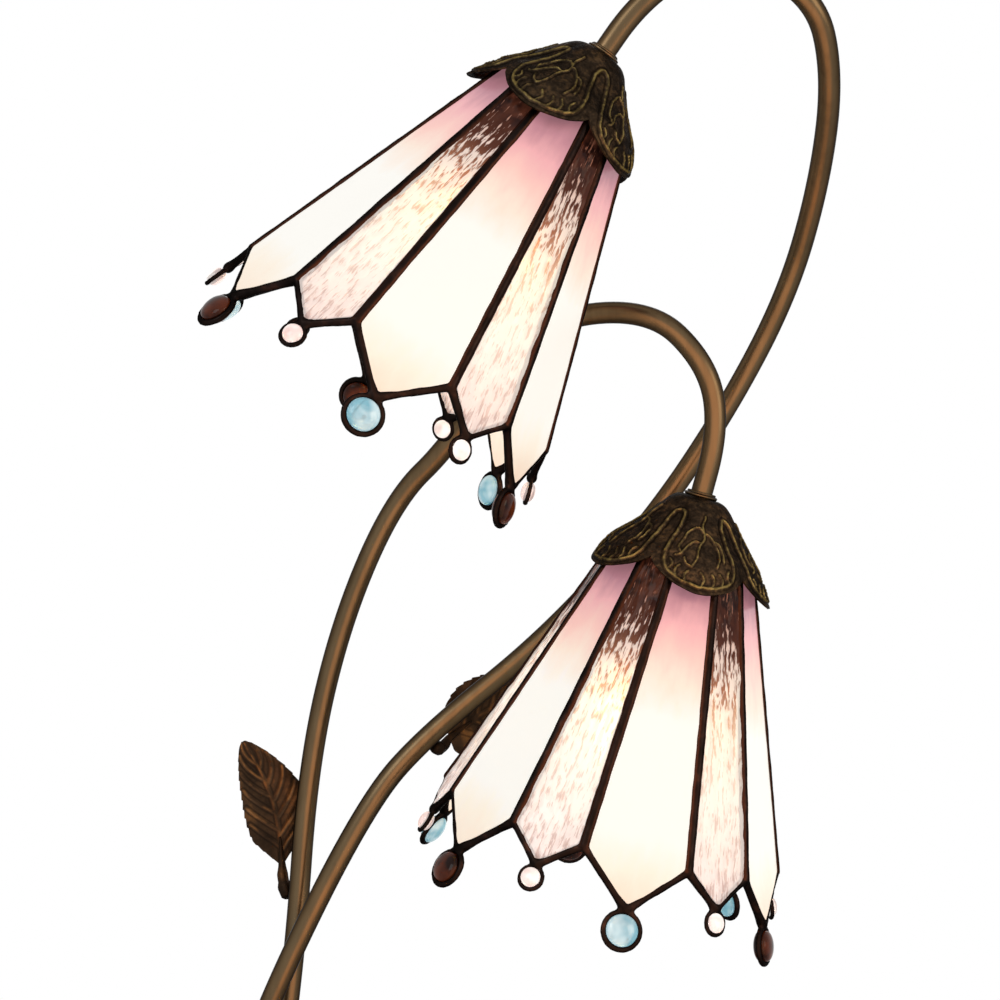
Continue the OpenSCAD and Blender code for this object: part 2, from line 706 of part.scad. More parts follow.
module upper_neck_ring() { at_upper() neck_ring(); }
module upper_calyx() { at_upper() calyx(upper_calyx_turn); }
module upper_calyx_nut() { at_upper() calyx_nut(); }
module upper_holder_cap() { at_upper() holder_cap(); }
module upper_holder_skirt() { at_upper() holder_skirt(); }
module upper_holder_core() { at_upper() holder_core(); }
module upper_holder_shell() { at_upper() holder_shell(); }
module upper_holder_contact() { at_upper() holder_contact(); }
module upper_shade_ring() { at_upper() shade_ring(); }
module upper_shade_collar() { at_upper() shade_collar(); }
module upper_pink_panes() { at_upper() pink_panes(upper_turn); }
module upper_clear_panes() { at_upper() clear_panes(upper_turn); }
module upper_leading() { at_upper() leading(upper_turn); }
module upper_blue_cabochons() { at_upper() blue_cabochons(upper_turn); }
module upper_amber_cabochons() { at_upper() amber_cabochons(upper_turn); }
module upper_clear_beads() { at_upper() clear_beads(upper_turn); }
module upper_bulb_cap() { at_upper() bulb_cap(); }
module upper_bulb_glass() { at_upper() bulb_glass(); }
module upper_bulb_filament() { at_upper() bulb_filament(); }

module lower_neck_ring() { at_lower() neck_ring(); }
module lower_calyx() { at_lower() calyx(lower_calyx_turn); }
module lower_calyx_nut() { at_lower() calyx_nut(); }
module lower_holder_cap() { at_lower() holder_cap(); }
module lower_holder_skirt() { at_lower() holder_skirt(); }
module lower_holder_core() { at_lower() holder_core(); }
module lower_holder_shell() { at_lower() holder_shell(); }
module lower_holder_contact() { at_lower() holder_contact(); }
module lower_shade_ring() { at_lower() shade_ring(); }
module lower_shade_collar() { at_lower() shade_collar(); }
module lower_pink_panes() { at_lower() pink_panes(lower_turn); }
module lower_clear_panes() { at_lower() clear_panes(lower_turn); }
module lower_leading() { at_lower() leading(lower_turn); }
module lower_blue_cabochons() { at_lower() blue_cabochons(lower_turn); }
module lower_amber_cabochons() { at_lower() amber_cabochons(lower_turn); }
module lower_clear_beads() { at_lower() clear_beads(lower_turn); }
module lower_bulb_cap() { at_lower() bulb_cap(); }
module lower_bulb_glass() { at_lower() bulb_glass(); }
module lower_bulb_filament() { at_lower() bulb_filament(); }

base_pad();
bottom_plate();
plate_screws();
base_casting();
base_weight();
hub_cap();
cord_bushing();
terminal_block();
terminal_screws();
stem_nuts();
stem_washers();
upper_stem();
lower_stem();
upper_lead();
lower_lead();
left_leaf();
right_leaf();
upper_neck_ring();
upper_calyx();
upper_calyx_nut();
upper_holder_cap();
upper_holder_skirt();
upper_holder_core();
upper_holder_shell();
upper_holder_contact();
upper_shade_ring();
upper_shade_collar();
upper_pink_panes();
upper_clear_panes();
upper_leading();
upper_blue_cabochons();
upper_amber_cabochons();
upper_clear_beads();
upper_bulb_cap();
upper_bulb_glass();
upper_bulb_filament();
lower_neck_ring();
lower_calyx();
lower_calyx_nut();
lower_holder_cap();
lower_holder_skirt();
lower_holder_core();
lower_holder_shell();
lower_holder_contact();
lower_shade_ring();
lower_shade_collar();
lower_pink_panes();
lower_clear_panes();
lower_leading();
lower_blue_cabochons();
lower_amber_cabochons();
lower_clear_beads();
lower_bulb_cap();
lower_bulb_glass();
lower_bulb_filament();
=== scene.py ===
import json
import math
from contextlib import contextmanager

import bpy
from bpy.props import FloatProperty, FloatVectorProperty, PointerProperty
from mathutils import Matrix, Vector, kdtree, noise


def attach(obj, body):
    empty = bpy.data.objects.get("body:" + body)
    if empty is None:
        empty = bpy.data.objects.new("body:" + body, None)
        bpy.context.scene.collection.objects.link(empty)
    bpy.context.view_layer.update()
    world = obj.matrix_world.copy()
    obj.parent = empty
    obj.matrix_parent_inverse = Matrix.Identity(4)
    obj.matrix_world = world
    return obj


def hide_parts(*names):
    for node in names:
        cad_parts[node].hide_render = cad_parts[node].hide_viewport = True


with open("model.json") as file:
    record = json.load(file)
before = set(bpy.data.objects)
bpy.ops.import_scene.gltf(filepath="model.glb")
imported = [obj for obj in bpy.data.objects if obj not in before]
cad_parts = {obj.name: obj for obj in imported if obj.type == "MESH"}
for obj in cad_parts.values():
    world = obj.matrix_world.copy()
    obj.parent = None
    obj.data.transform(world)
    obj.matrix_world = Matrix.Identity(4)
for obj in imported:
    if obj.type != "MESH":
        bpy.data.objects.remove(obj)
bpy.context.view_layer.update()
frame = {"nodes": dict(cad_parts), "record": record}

bl_info = {
    "name": "Tulip shade table lamp",
    "version": (1, 0, 0),
    "blender": (4, 5, 0),
    "location": "View3D > Sidebar > Lamp",
    "description": "Models the visible pieces of the table lamp round its packed frame",
    "category": "Object",
}

TAU = 2 * math.pi


def mm(*values):
    """Millimetres as metres: one number by itself, or three as a vector."""
    return values[0] * 0.001 if len(values) == 1 else Vector(values) * 0.001


# ---- the frame's own sizes -----------------------------------------------------

HEADS = {
    "upper": dict(neck=mm(153.7, -68, 562.6), tilt=34.8, turn=5, calyx_turn=-16),
    "lower": dict(neck=mm(198, -27, 380), tilt=15.2, turn=6, calyx_turn=8),
}

# the shade is a pyramid of panes whose seams meet above the neck, in one apex
PANES = 6
SHOULDER_S = mm(146)
SHOULDER_R = mm(73)
NECK_R = mm(19.6)
SEAM_RISE = (SHOULDER_R - NECK_R) / SHOULDER_S
SEAM_SLOPE = math.atan(SEAM_RISE)
APEX_S = NECK_R / SEAM_RISE
APEX = Vector((0, 0, APEX_S))
GLASS_TOP_S = mm(24)
GLASS_T = mm(3)
RIM_W = mm(3.6)
STONE_D = mm(13)
BEAD_D = mm(8)
RING_SINK = mm(1.2)
PINK_HALF = math.radians(17.5)
COLLAR_GAP = mm(1.1)
COLLAR_R = ((GLASS_TOP_S + APEX_S) * SEAM_RISE * math.cos(PINK_HALF)
            - GLASS_T / 2 / math.cos(SEAM_SLOPE) - COLLAR_GAP)


def head_matrix(head):
    """Where a flower's own space lies: its neck at the origin and its axis down -Z."""
    spot = HEADS[head]
    return Matrix.Translation(spot["neck"]) @ Matrix.Rotation(math.radians(spot["tilt"]), 4, "Y")


def turned(head, key):
    """A flower's own space, turned about its axis as its shade or its calyx is."""
    return head_matrix(head) @ Matrix.Rotation(math.radians(HEADS[head][key]), 4, "Z")


class Pane:
    """One kind of pane, six times round a shade, with the stone or bead on its point"""

    def __init__(self, half, tip, first, stone, wall, section):
        self.half = half
        self.tip = tip
        self.first = first
        self.stone = stone
        self.section = section
        self.drop = tip + RIM_W / 2 + stone / 2 + wall - RING_SINK
        self.slope = math.atan(SEAM_RISE * math.cos(half))
        self.spread = SEAM_RISE * math.sin(half) * math.cos(self.slope)

    def down(self, s):
        """Distance from the apex, down the middle of the pane, at depth s."""
        return (s + APEX_S) / math.cos(self.slope)

    def plane(self, k):
        """The plane of pane k: x across it, y down it from the apex, z into the shade."""
        return (Matrix.Rotation((k + self.first) * TAU / PANES, 4, "Z") @ Matrix.Translation(APEX)
                @ Matrix.Rotation(-math.pi / 2 - self.slope, 4, "X"))


PINK = Pane(PINK_HALF, tip=mm(21), first=0, stone=STONE_D, wall=mm(1.35), section=mm(1.4))
CLEAR = Pane(math.radians(30) - PINK_HALF, tip=mm(13.5), first=0.5, stone=BEAD_D, wall=mm(1.15),
             section=mm(1.1))


# ---- settings --------------------------------------------------------------------

class ShadeSettings(bpy.types.PropertyGroup):
    """Sizes and colours of the leaded shades"""
    lead_width: FloatProperty(
        name="Lead line width", description="Width of the solder between the panes",
        default=mm(4.7), min=mm(3), max=mm(6), unit="LENGTH")
    ripple: FloatProperty(
        name="Ripple", description="Height of the ripple on the clear panes",
        default=mm(0.42), min=0, max=mm(0.8), unit="LENGTH")
    glow: FloatProperty(
        name="Glow", description="Strength of the lit opal glass", default=0.52, min=0, max=2)
    sparkle: FloatProperty(
        name="Sparkle", description="Strength of the lit clear glass", default=0.24, min=0, max=2)
    # the glass colours paint the lit glass: mauve is its painted shade under the calyx, cream its painted
    # light beside the bulb
    mauve: FloatVectorProperty(
        name="Glass at the top", description="Opal glass under the calyx",
        subtype="COLOR", default=(0.56, 0.25, 0.30), min=0, max=1)
    salmon: FloatVectorProperty(
        name="Glass below the top", description="Opal glass where the light starts",
        subtype="COLOR", default=(0.89, 0.44, 0.46), min=0, max=1)
    cream: FloatVectorProperty(
        name="Glass beside the bulb", description="Opal glass where it is brightest",
        subtype="COLOR", default=(1.0, 0.98, 0.92), min=0, max=1)


class MetalSettings(bpy.types.PropertyGroup):
    """Sizes and colours of the bronze work"""
    bronze: FloatVectorProperty(
        name="Tube", description="Metal of the stem tubes, under their brown lacquer",
        subtype="COLOR", default=(0.50, 0.41, 0.27), min=0, max=1)
    patina: FloatVectorProperty(
        name="Patina", description="Dark ground of the castings",
        subtype="COLOR", default=(0.029, 0.020, 0.013), min=0, max=1)
    rubbed: FloatVectorProperty(
        name="Rubbed gold", description="Raised veins and edges",
        subtype="COLOR", default=(0.19, 0.14, 0.05), min=0, max=1)
    vein: FloatProperty(
        name="Vein", description="Radius of the veins on the calyxes",
        default=mm(0.55), min=mm(0.3), max=mm(1), unit="LENGTH")


class LampSettings(bpy.types.PropertyGroup):
    """All settings of the lamp"""
    shade: PointerProperty(type=ShadeSettings)
    metal: PointerProperty(type=MetalSettings)


def settings():
    return bpy.context.scene.lamp_settings


# ---- working with objects ----------------------------------------------------------

def pick(*objects):
    """Selects these objects alone; the first is the active one."""
    bpy.ops.object.select_all(action="DESELECT")
    for o in objects:
        o.select_set(True)
    bpy.context.view_layer.objects.active = objects[0]


@contextmanager
def editing(piece):
    """Opens a piece in edit mode with its whole mesh selected, and closes it again."""
    pick(piece)
    bpy.ops.object.mode_set(mode="EDIT")
    bpy.ops.mesh.select_all(action="SELECT")
    yield
    bpy.ops.object.mode_set(mode="OBJECT")


def name_piece(name):
    """Names the active object and its mesh."""
    piece = bpy.context.view_layer.objects.active
    piece.name = name
    piece.data.name = name
    return piece


def drawn(name, runs, radius=0.0, sides=8, cyclic=False):
    """Lines through runs of points, round bars where there is a radius.

    A point's fourth number, where it has one, scales the radius."""
    curve = bpy.data.curves.new(name, "CURVE")
    curve.dimensions = "3D"
    curve.bevel_depth = radius
    curve.bevel_resolution = sides // 4
    curve.use_fill_caps = not cyclic
    for run in runs:
        line = curve.splines.new("POLY")
        line.points.add(len(run) - 1)
        line.use_cyclic_u = cyclic
        for point, place in zip(line.points, run):
            point.co = (*place[:3], 1)
            point.radius = place[3] if len(place) > 3 else 1
    piece = bpy.data.objects.new(name, curve)
    bpy.context.scene.collection.objects.link(piece)
    pick(piece)
    bpy.ops.object.convert(target="MESH")
    piece = name_piece(name)
    return mend(piece) if radius else piece


def mend(piece):
    """Merges doubled points, then turns the faces outwards."""
    with editing(piece):
        bpy.ops.mesh.remove_doubles(threshold=mm(0.001))
        bpy.ops.mesh.normals_make_consistent(inside=False)
    return piece


def lathe(name, profile, steps=64, closed=False):
    """A turned piece: a profile of (radius, height) in millimetres, spun round Z."""
    points = [(mm(r), 0, mm(z)) for r, z in profile]
    piece = drawn(name, [points], cyclic=closed)
    with editing(piece):
        bpy.ops.mesh.spin(steps=steps, angle=TAU, center=(0, 0, 0), axis=(0, 0, 1))
    return mend(piece)


def grid(name, columns, rows):
    """A flat sheet from -1 to 1 both ways, ready to be shaped."""
    bpy.ops.object.select_all(action="DESELECT")
    bpy.ops.mesh.primitive_grid_add(x_subdivisions=columns, y_subdivisions=rows, size=2)
    return name_piece(name)


def shape(piece, move):
    """Moves every point of a piece: move gives the new place of an old one."""
    for vertex in piece.data.vertices:
        vertex.co = move(vertex.co.copy())
    piece.data.update()
    return piece


def finish_with(piece, kind, **values):
    """Adds a modifier and applies it."""
    pick(piece)
    modifier = piece.modifiers.new(kind.title(), kind)
    for key, value in values.items():
        setattr(modifier, key, value)
    bpy.ops.object.modifier_apply(modifier=modifier.name)
    return piece


def join(name, pieces):
    """Joins pieces into the first one."""
    pick(*pieces)
    if len(pieces) > 1:
        bpy.ops.object.join()
    return name_piece(name)


def copy_of(piece, name, matrix):
    """A copy with its own mesh, moved by the matrix."""
    twin = piece.copy()
    twin.data = piece.data.copy()
    bpy.context.scene.collection.objects.link(twin)
    twin.name = name
    twin.data.name = name
    twin.data.transform(matrix)
    return twin


def drop(piece):
    bpy.data.meshes.remove(piece.data)


def smooth(piece, degrees):
    """Shades a piece smooth, apart from edges sharper than this."""
    pick(piece)
    bpy.ops.object.shade_smooth_by_angle(angle=math.radians(degrees))
    return piece


def settle(piece, body, slot, *nodes):
    """The piece's finish, the body it rides on and the nodes that it stands for."""
    piece.data.materials.clear()
    piece.data.materials.append(MATERIALS[slot]())
    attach(piece, body)
    if nodes:
        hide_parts(*nodes)
    return piece


def both_heads(model, part, body, slot, key="turn", degrees=35):
    """Copies a piece modelled in a flower's own space to both flowers."""
    smooth(model, degrees)
    for head in HEADS:
        name = f"{head}_{part}"
        piece = copy_of(model, f"{name}_piece", turned(head, key))
        settle(piece, body if body == "stand" else f"{head}_{body}", slot, name)
    drop(model)


# ---- materials ----------------------------------------------------------------------

def put(node, **values):
    """Sets a node's sockets and properties, and links a socket that is given.

    A key is a socket's name with _ for its spaces, or i and a socket's number."""
    for key, value in values.items():
        label = key.replace("_", " ")
        spot = int(key[1:]) if key[0] == "i" and key[1:].isdigit() else label
        if spot in node.inputs.keys() or isinstance(spot, int):
            socket = node.inputs[spot]
            if isinstance(value, bpy.types.NodeSocket):
                node.id_data.links.new(value, socket)
            else:
                socket.default_value = value
        else:
            setattr(node, key, value)
    return node


def rgba(value):
    """A colour or a grey with its alpha; a socket stays as it is."""
    if isinstance(value, bpy.types.NodeSocket):
        return value
    return (*value, 1) if hasattr(value, "__len__") else (value, value, value, 1)


def times(colour, *shares):
    """A colour scaled by one share, or by a share for each channel."""
    return [channel * share for channel, share in zip(colour, shares * 3)]


class Paint:
    """The nodes of one material, ending in a Principled shader"""

    def __init__(self, name, **shader):
        self.material = bpy.data.materials.new(name)
        self.material.use_nodes = True
        self.tree = self.material.node_tree
        self.shader = self.tree.nodes["Principled BSDF"]
        self.place = self.add("TexCoord").outputs["Object"]
        self.shade(**shader)

    def add(self, kind, **values):
        return put(self.tree.nodes.new("ShaderNode" + kind), **values)

    def shade(self, **values):
        put(self.shader, **values)

    def stretched(self, scale):
        """The place, with a pattern's size along each axis."""
        return self.add("Mapping", Vector=self.place, Scale=scale).outputs[0]

    def drawn_out(self, across, down, move=0.0):
        """A pattern that runs down a pane, with its size in millimetres across and down."""
        flow = self.add("Attribute", attribute_name="flow").outputs["Vector"]
        scale = (1000 / across, 1000 / down, 1)
        return self.add("Mapping", Vector=flow, Location=(move, move, move), Scale=scale).outputs[0]

    def noise(self, scale, detail=4, roughness=0.55, vector=None):
        return self.add("TexNoise", Vector=vector or self.place, Scale=scale, Detail=detail,
                        Roughness=roughness).outputs["Fac"]

    def ramp(self, factor, *stops):
        """A scale of colours or greys, each given with its spot from 0 to 1."""
        ramp = self.add("ValToRGB", Fac=factor)
        marks = ramp.color_ramp.elements
        while len(marks) < len(stops):
            marks.new(0.5)
        for mark, (spot, colour) in zip(marks, stops):
            mark.position = spot
            mark.color = rgba(colour)
        return ramp.outputs["Color"]

    def mix(self, factor, a, b, blend_type="MIX"):
        node = self.add("Mix", data_type="RGBA", blend_type=blend_type)
        return put(node, i0=factor, i6=rgba(a), i7=rgba(b)).outputs[2]

    def math(self, operation, a, b):
        return self.add("Math", operation=operation, i0=a, i1=b).outputs[0]

    def weighed(self, a, b, share):
        """Two patterns in one: this share of the first, and the rest of the second."""
        return self.math("ADD", self.math("MULTIPLY", a, share), self.math("MULTIPLY", b, 1 - share))

    def attribute(self, name):
        return self.add("Attribute", attribute_name=name).outputs["Fac"]

    def bump(self, height, distance, strength):
        self.shade(Normal=self.add("Bump", Height=height, Distance=distance, Strength=strength).outputs[0])


# what a metal with a dull brown skin gives back at its edges
DULL = dict(Specular_Tint=(0.1, 0.08, 0.06, 1), Specular_IOR_Level=0.12)
# the relief mark of emboss: these spots of it are groove and crown
GROOVE = (0.04, 0.26)
CROWN = 0.45


def cast_paint(name, ground, raised, roughness):
    """Dark speckled casting: its veins are rubbed bright and their grooves stay black."""
    paint = Paint(name, Metallic=0.85, **DULL)
    cloud = paint.noise(90)
    speck = paint.noise(420, roughness=0.65)
    dark = paint.ramp(paint.weighed(cloud, speck, 0.45), (0.38, times(ground, 0.45)), (0.50, ground),
                      (0.64, times(ground, 3.0, 2.6, 2.0)))
    relief = paint.attribute("relief")
    dark = paint.mix(paint.ramp(relief, (GROOVE[0], 0.8), (GROOVE[1], 0.0)), dark, times(ground, 0.25))
    rubbing = paint.ramp(paint.noise(210, roughness=0.65), (0.40, 0.16), (0.58, 1.0))
    worn = paint.math("MULTIPLY", paint.ramp(relief, (CROWN, 0.0), (0.85, 1.0)), rubbing)
    paint.shade(Base_Color=paint.mix(worn, dark, raised),
                Roughness=paint.ramp(speck, (0.3, roughness + 0.1), (0.7, roughness - 0.1)))
    paint.bump(paint.math("ADD", cloud, speck), mm(0.7), 0.7)
    return paint.material


def make_cast_bronze():
    metal = settings().metal
    return cast_paint("cast bronze", times(metal.patina, 1.25), metal.rubbed, 0.42)


def make_calyx_bronze():
    metal = settings().metal
    return cast_paint("calyx bronze", times(metal.patina, 1), metal.rubbed, 0.44)


def make_leaf_bronze():
    """Dark brown leaf with soft orange-brown patches; its veins are only a little brighter."""
    paint = Paint("leaf bronze", Metallic=0.7, **DULL)
    cloud = paint.noise(75, 5)
    colour = paint.ramp(cloud, (0.36, (0.026, 0.016, 0.010)), (0.54, (0.055, 0.030, 0.016)),
                        (0.70, (0.17, 0.075, 0.026)))
    relief = paint.attribute("relief")
    colour = paint.mix(paint.ramp(relief, (GROOVE[0], 0.7), (GROOVE[1], 0.0)), colour, (0.014, 0.009, 0.006))
    rubbing = paint.ramp(paint.noise(120, 2), (0.44, 0.0), (0.66, 0.6))
    worn = paint.math("MULTIPLY", paint.ramp(relief, (CROWN, 0.0), (0.95, 1.0)), rubbing)
    paint.shade(Base_Color=paint.mix(worn, colour, (0.26, 0.115, 0.038)),
                Roughness=paint.ramp(cloud, (0.3, 0.5), (0.7, 0.36)))
    paint.bump(paint.noise(420), mm(0.4), 0.6)
    return paint.material


def make_tube_bronze():
    """Brown lacquer over drawn tube: it darkens the flanks, and faint streaks run upright."""
    paint = Paint("tube bronze", Metallic=1.0, Specular_Tint=(0, 0, 0, 1), Coat_Weight=1.0,
                  Coat_Roughness=0.3, Coat_IOR=1.06, Coat_Tint=(0.26, 0.22, 0.18, 1))
    tone = settings().metal.bronze
    streak = paint.noise(1, 3, vector=paint.stretched((260, 260, 30)))
    colour = paint.ramp(paint.noise(14, 3), (0.3, times(tone, 0.8)), (0.5, tone),
                        (0.75, times(tone, 1.25, 1.1, 1)))
    paint.shade(Base_Color=paint.mix(paint.ramp(streak, (0.45, 0.0), (0.7, 0.35)), colour, times(tone, 0.6)),
                Roughness=paint.ramp(streak, (0.3, 0.29), (0.7, 0.35)))
    return paint.material


def make_leading():
    """Solder with a black patina; a painted glow of the lit glass browns its flanks where it meets the glass.
    """
    paint = Paint("leading", Metallic=0.9, Specular_Tint=(0.1, 0.08, 0.07, 1), Specular_IOR_Level=0.15)
    dark = paint.ramp(paint.noise(110), (0.35, (0.006, 0.0045, 0.004)), (0.6, (0.014, 0.009, 0.008)),
                      (0.78, (0.045, 0.020, 0.013)))
    # the mask paints the lit glass's glow on the solder's flanks beside the glass
    paint.shade(Base_Color=paint.mix(paint.attribute("painted_glow_edge"), dark, (0.034, 0.013, 0.008)),
                Roughness=paint.ramp(paint.noise(300, 3), (0.3, 0.32), (0.7, 0.5)))
    paint.bump(paint.noise(240), mm(0.4), 0.5)
    return paint.material


# Along a pane the depth runs from 0 under the calyx to 1 at its point; the bulb is beside about 0.2 to 0.75.
# the opal glass's colour is its painted glow at this share, so the painted light and shade lie in its colour
# too
OPAL_BODY = (0.62, 0.62, 0.62)
# the painted glow's colours further down the pane: peach and warm white below the salmon, and the low stops
# at the point
OPAL_PEACH = (0.99, 0.61, 0.54)
OPAL_WARM = (1.0, 0.82, 0.69)
OPAL_LOW = ((0.90, (1.0, 0.90, 0.76)), (0.99, (0.98, 0.78, 0.62)))
# how much of the streaked glass is painted light, the lower it lies
CLEAR_SHARE = ((0.05, 0.0), (0.18, 0.015), (0.26, 0.06), (0.35, 0.13), (0.45, 0.165), (0.7, 0.17),
               (1.0, 0.15))
# the painted view through the glass in its dark streaks: the shaded lampholder near black at the top, paler
# lower down
CLEAR_DARK = ((0.04, (0.010, 0.004, 0.003)), (0.16, (0.026, 0.008, 0.006)), (0.27, (0.10, 0.030, 0.018)),
              (0.38, (0.40, 0.16, 0.085)), (0.50, (0.72, 0.48, 0.34)), (0.70, (0.80, 0.64, 0.56)),
              (1.0, (0.62, 0.44, 0.40)))
# and in its light streaks: painted light of the lit bulb and glass behind, dim under the calyx
CLEAR_LIGHT = ((0.04, (0.20, 0.06, 0.03)), (0.15, (0.40, 0.17, 0.11)), (0.27, (0.85, 0.66, 0.58)),
               (0.40, (1.0, 0.91, 0.80)), (0.75, (0.98, 0.90, 0.83)), (1.0, (0.94, 0.80, 0.75)))
# painted red-brown patches: the calyx's inside seen through the top of the glass
CLEAR_PAINTED_RED_BROWN = (0.095, 0.028, 0.015)
BULB_HEAT = ((0.0, (0.70, 0.28, 0.08)), (0.28, (1.0, 0.55, 0.10)), (0.46, (1.0, 0.74, 0.16)),
             (0.58, (1.0, 0.93, 0.70)), (1.0, (1.0, 0.90, 0.66)))


def make_pink_glass():
    """Opal glass with the bulb's light painted in: wisps run down the pane, painted shade in mauve at the top
    under the calyx and painted glow in white beside the bulb.
    """
    shade = settings().shade
    paint = Paint("pink glass", Roughness=0.25, Specular_IOR_Level=0.35)
    wisp = paint.noise(1, 4, vector=paint.drawn_out(16, 34))
    fine = paint.noise(1, 5, vector=paint.drawn_out(5, 16, 3.0))
    depth = paint.attribute("depth")
    for pattern, share in ((wisp, 0.14), (fine, 0.05)):
        drift = paint.math("MULTIPLY", paint.math("SUBTRACT", pattern, 0.5), share)
        depth = paint.math("ADD", depth, drift)
    # painted glow: dark mauve in the calyx's painted shade at the top, white painted light beside the bulb
    lit = paint.ramp(depth, (0.06, times(shade.mauve, 0.72)), (0.13, shade.mauve), (0.20, shade.salmon),
                     (0.28, OPAL_PEACH), (0.37, OPAL_WARM), (0.47, shade.cream), (0.80, shade.cream),
                     *OPAL_LOW)
    # the painted glow is both the pane's colour and its emission, so the pane glows with it
    paint.shade(Base_Color=paint.mix(1.0, lit, OPAL_BODY, "MULTIPLY"), Emission_Color=lit,
                Emission_Strength=shade.glow)
    paint.bump(paint.noise(45, 3), mm(0.5), 0.3)
    return paint.material


def make_clear_glass():
    """Rippled clear glass, with what lies behind it painted in as short upright streaks.

    They are painted dark for the shaded lampholder, with painted red-brown patches for the calyx's inside
    seen through the glass, and painted light where the lit bulb stands behind; the glass glows with these
    painted colours."""
    paint = Paint("clear glass", Roughness=0.08, IOR=1.45, Specular_IOR_Level=0.08)
    depth = paint.attribute("depth")
    coarse = paint.noise(1, 2, 0.5, vector=paint.drawn_out(1.6, 9.5))
    fine = paint.noise(1, 2, 0.5, vector=paint.drawn_out(0.8, 4.5, 5.0))
    level = paint.math("ADD", paint.weighed(coarse, fine, 0.5), paint.ramp(depth, *CLEAR_SHARE))
    streak = paint.ramp(paint.math("SUBTRACT", level, 0.11), (0.47, 0.0), (0.53, 1.0))
    # painted red-brown patches near the top, where the calyx's inside is seen through the glass
    painted_red_brown = paint.ramp(paint.noise(1, 2, vector=paint.drawn_out(7, 9, 9.0)), (0.42, 0.0), (0.60, 1.0))
    painted_red_brown = paint.math("MULTIPLY", painted_red_brown, paint.ramp(depth, (0.12, 1.0), (0.32, 0.0)))
    dark = paint.mix(painted_red_brown, paint.ramp(depth, *CLEAR_DARK), CLEAR_PAINTED_RED_BROWN)
    body = paint.mix(streak, dark, paint.ramp(depth, *CLEAR_LIGHT))
    # the painted view is both the colour and the emission: a painted glow
    paint.shade(Base_Color=body, Emission_Color=body, Emission_Strength=settings().shade.sparkle,
                Transmission_Weight=paint.ramp(depth, (0.26, 0.0), (0.46, 0.45)))
    paint.bump(streak, mm(0.25), 0.5)
    return paint.material


def stone_paint(name, deep, pale, glow, clear=0.5, gloss=0.5):
    """Cast glass stone with deep and pale clouds; it glows with its own colour, a painted glow of the lamp's
    light through it.
    """
    paint = Paint(name, Roughness=0.06, IOR=1.5, Transmission_Weight=clear, Specular_IOR_Level=gloss)
    swirl = paint.noise(95, 2)
    colour = paint.ramp(swirl, (0.38, deep), (0.60, pale))
    paint.shade(Base_Color=colour, Emission_Color=colour, Emission_Strength=glow)
    paint.bump(swirl, mm(0.15), 0.3)
    return paint.material


def make_blue_glass():
    return stone_paint("blue glass", (0.20, 0.46, 0.56), (0.72, 0.87, 0.90), 0.18)


def make_amber_glass():
    return stone_paint("amber glass", (0.014, 0.0035, 0.002), (0.12, 0.024, 0.007), 0.02, clear=0, gloss=0.12)


def make_bead_glass():
    return stone_paint("bead glass", (0.78, 0.60, 0.56), (1.0, 0.94, 0.90), 0.34)


def make_bulb_glass():
    """Lit candle bulb: warm at the neck, whiter in the middle."""
    paint = Paint("bulb glass", Roughness=0.1, IOR=1.45, Transmission_Weight=0.3)
    heat = paint.ramp(paint.attribute("depth"), *BULB_HEAT)
    paint.shade(Base_Color=paint.mix(paint.noise(60, 2), heat, (1.0, 0.9, 0.75)), Emission_Color=heat,
                Emission_Strength=2.2)
    return paint.material


def make_filament():
    paint = Paint("filament", Roughness=0.4)
    hot = paint.ramp(paint.noise(500, 2), (0.3, (1.0, 0.70, 0.30)), (0.7, (1.0, 0.92, 0.66)))
    paint.shade(Base_Color=hot, Emission_Color=hot, Emission_Strength=4.0)
    return paint.material


def plain_paint(name, dark, light, metallic, rough, scale, height, stretch=(1, 1, 1)):
    """A plain stock finish with its own grain; height is the grain's, in millimetres."""
    paint = Paint(name, Metallic=metallic)
    grain = paint.noise(scale, vector=paint.stretched(stretch))
    paint.shade(Base_Color=paint.ramp(grain, (0.3, dark), (0.7, light)),
                Roughness=paint.ramp(grain, (0.3, rough), (0.7, rough + 0.12)))
    paint.bump(grain, mm(height), 0.4)
    return paint.material


# name, dark and light of the grain, metal, roughness, and the grain's scale, height and stretch
PLAIN = {
    "dark_holder": ("dark holder", (0.018, 0.013, 0.010), (0.035, 0.026, 0.020), 0.0, 0.42, 700, 0.08),
    "holder_ceramic": ("holder ceramic", (0.70, 0.66, 0.58), (0.84, 0.81, 0.74), 0.0, 0.55, 500, 0.1),
    "brass": ("brass", (0.56, 0.38, 0.13), (0.80, 0.60, 0.27), 1.0, 0.24, 260, 0.05, (1, 1, 6)),
    "plate_steel": ("plate steel", (0.40, 0.40, 0.41), (0.62, 0.62, 0.63), 1.0, 0.30, 90, 0.04, (1, 12, 1)),
    "iron": ("iron", (0.10, 0.10, 0.105), (0.22, 0.22, 0.225), 0.9, 0.58, 260, 0.5),
    "felt": ("felt", (0.012, 0.012, 0.012), (0.045, 0.045, 0.045), 0.0, 0.85, 1500, 0.5),
    "black_plastic": ("black plastic", (0.010, 0.010, 0.010), (0.026, 0.026, 0.026), 0.0, 0.38, 900, 0.06),
    "ivory_plastic": ("ivory plastic", (0.72, 0.67, 0.55), (0.86, 0.82, 0.72), 0.0, 0.36, 600, 0.06),
}


def once(make, *row):
    """The material that make builds, built the first time it is asked for."""
    kept = []

    def get():
        if not kept:
            kept.append(make(*row))
        return kept[0]
    return get


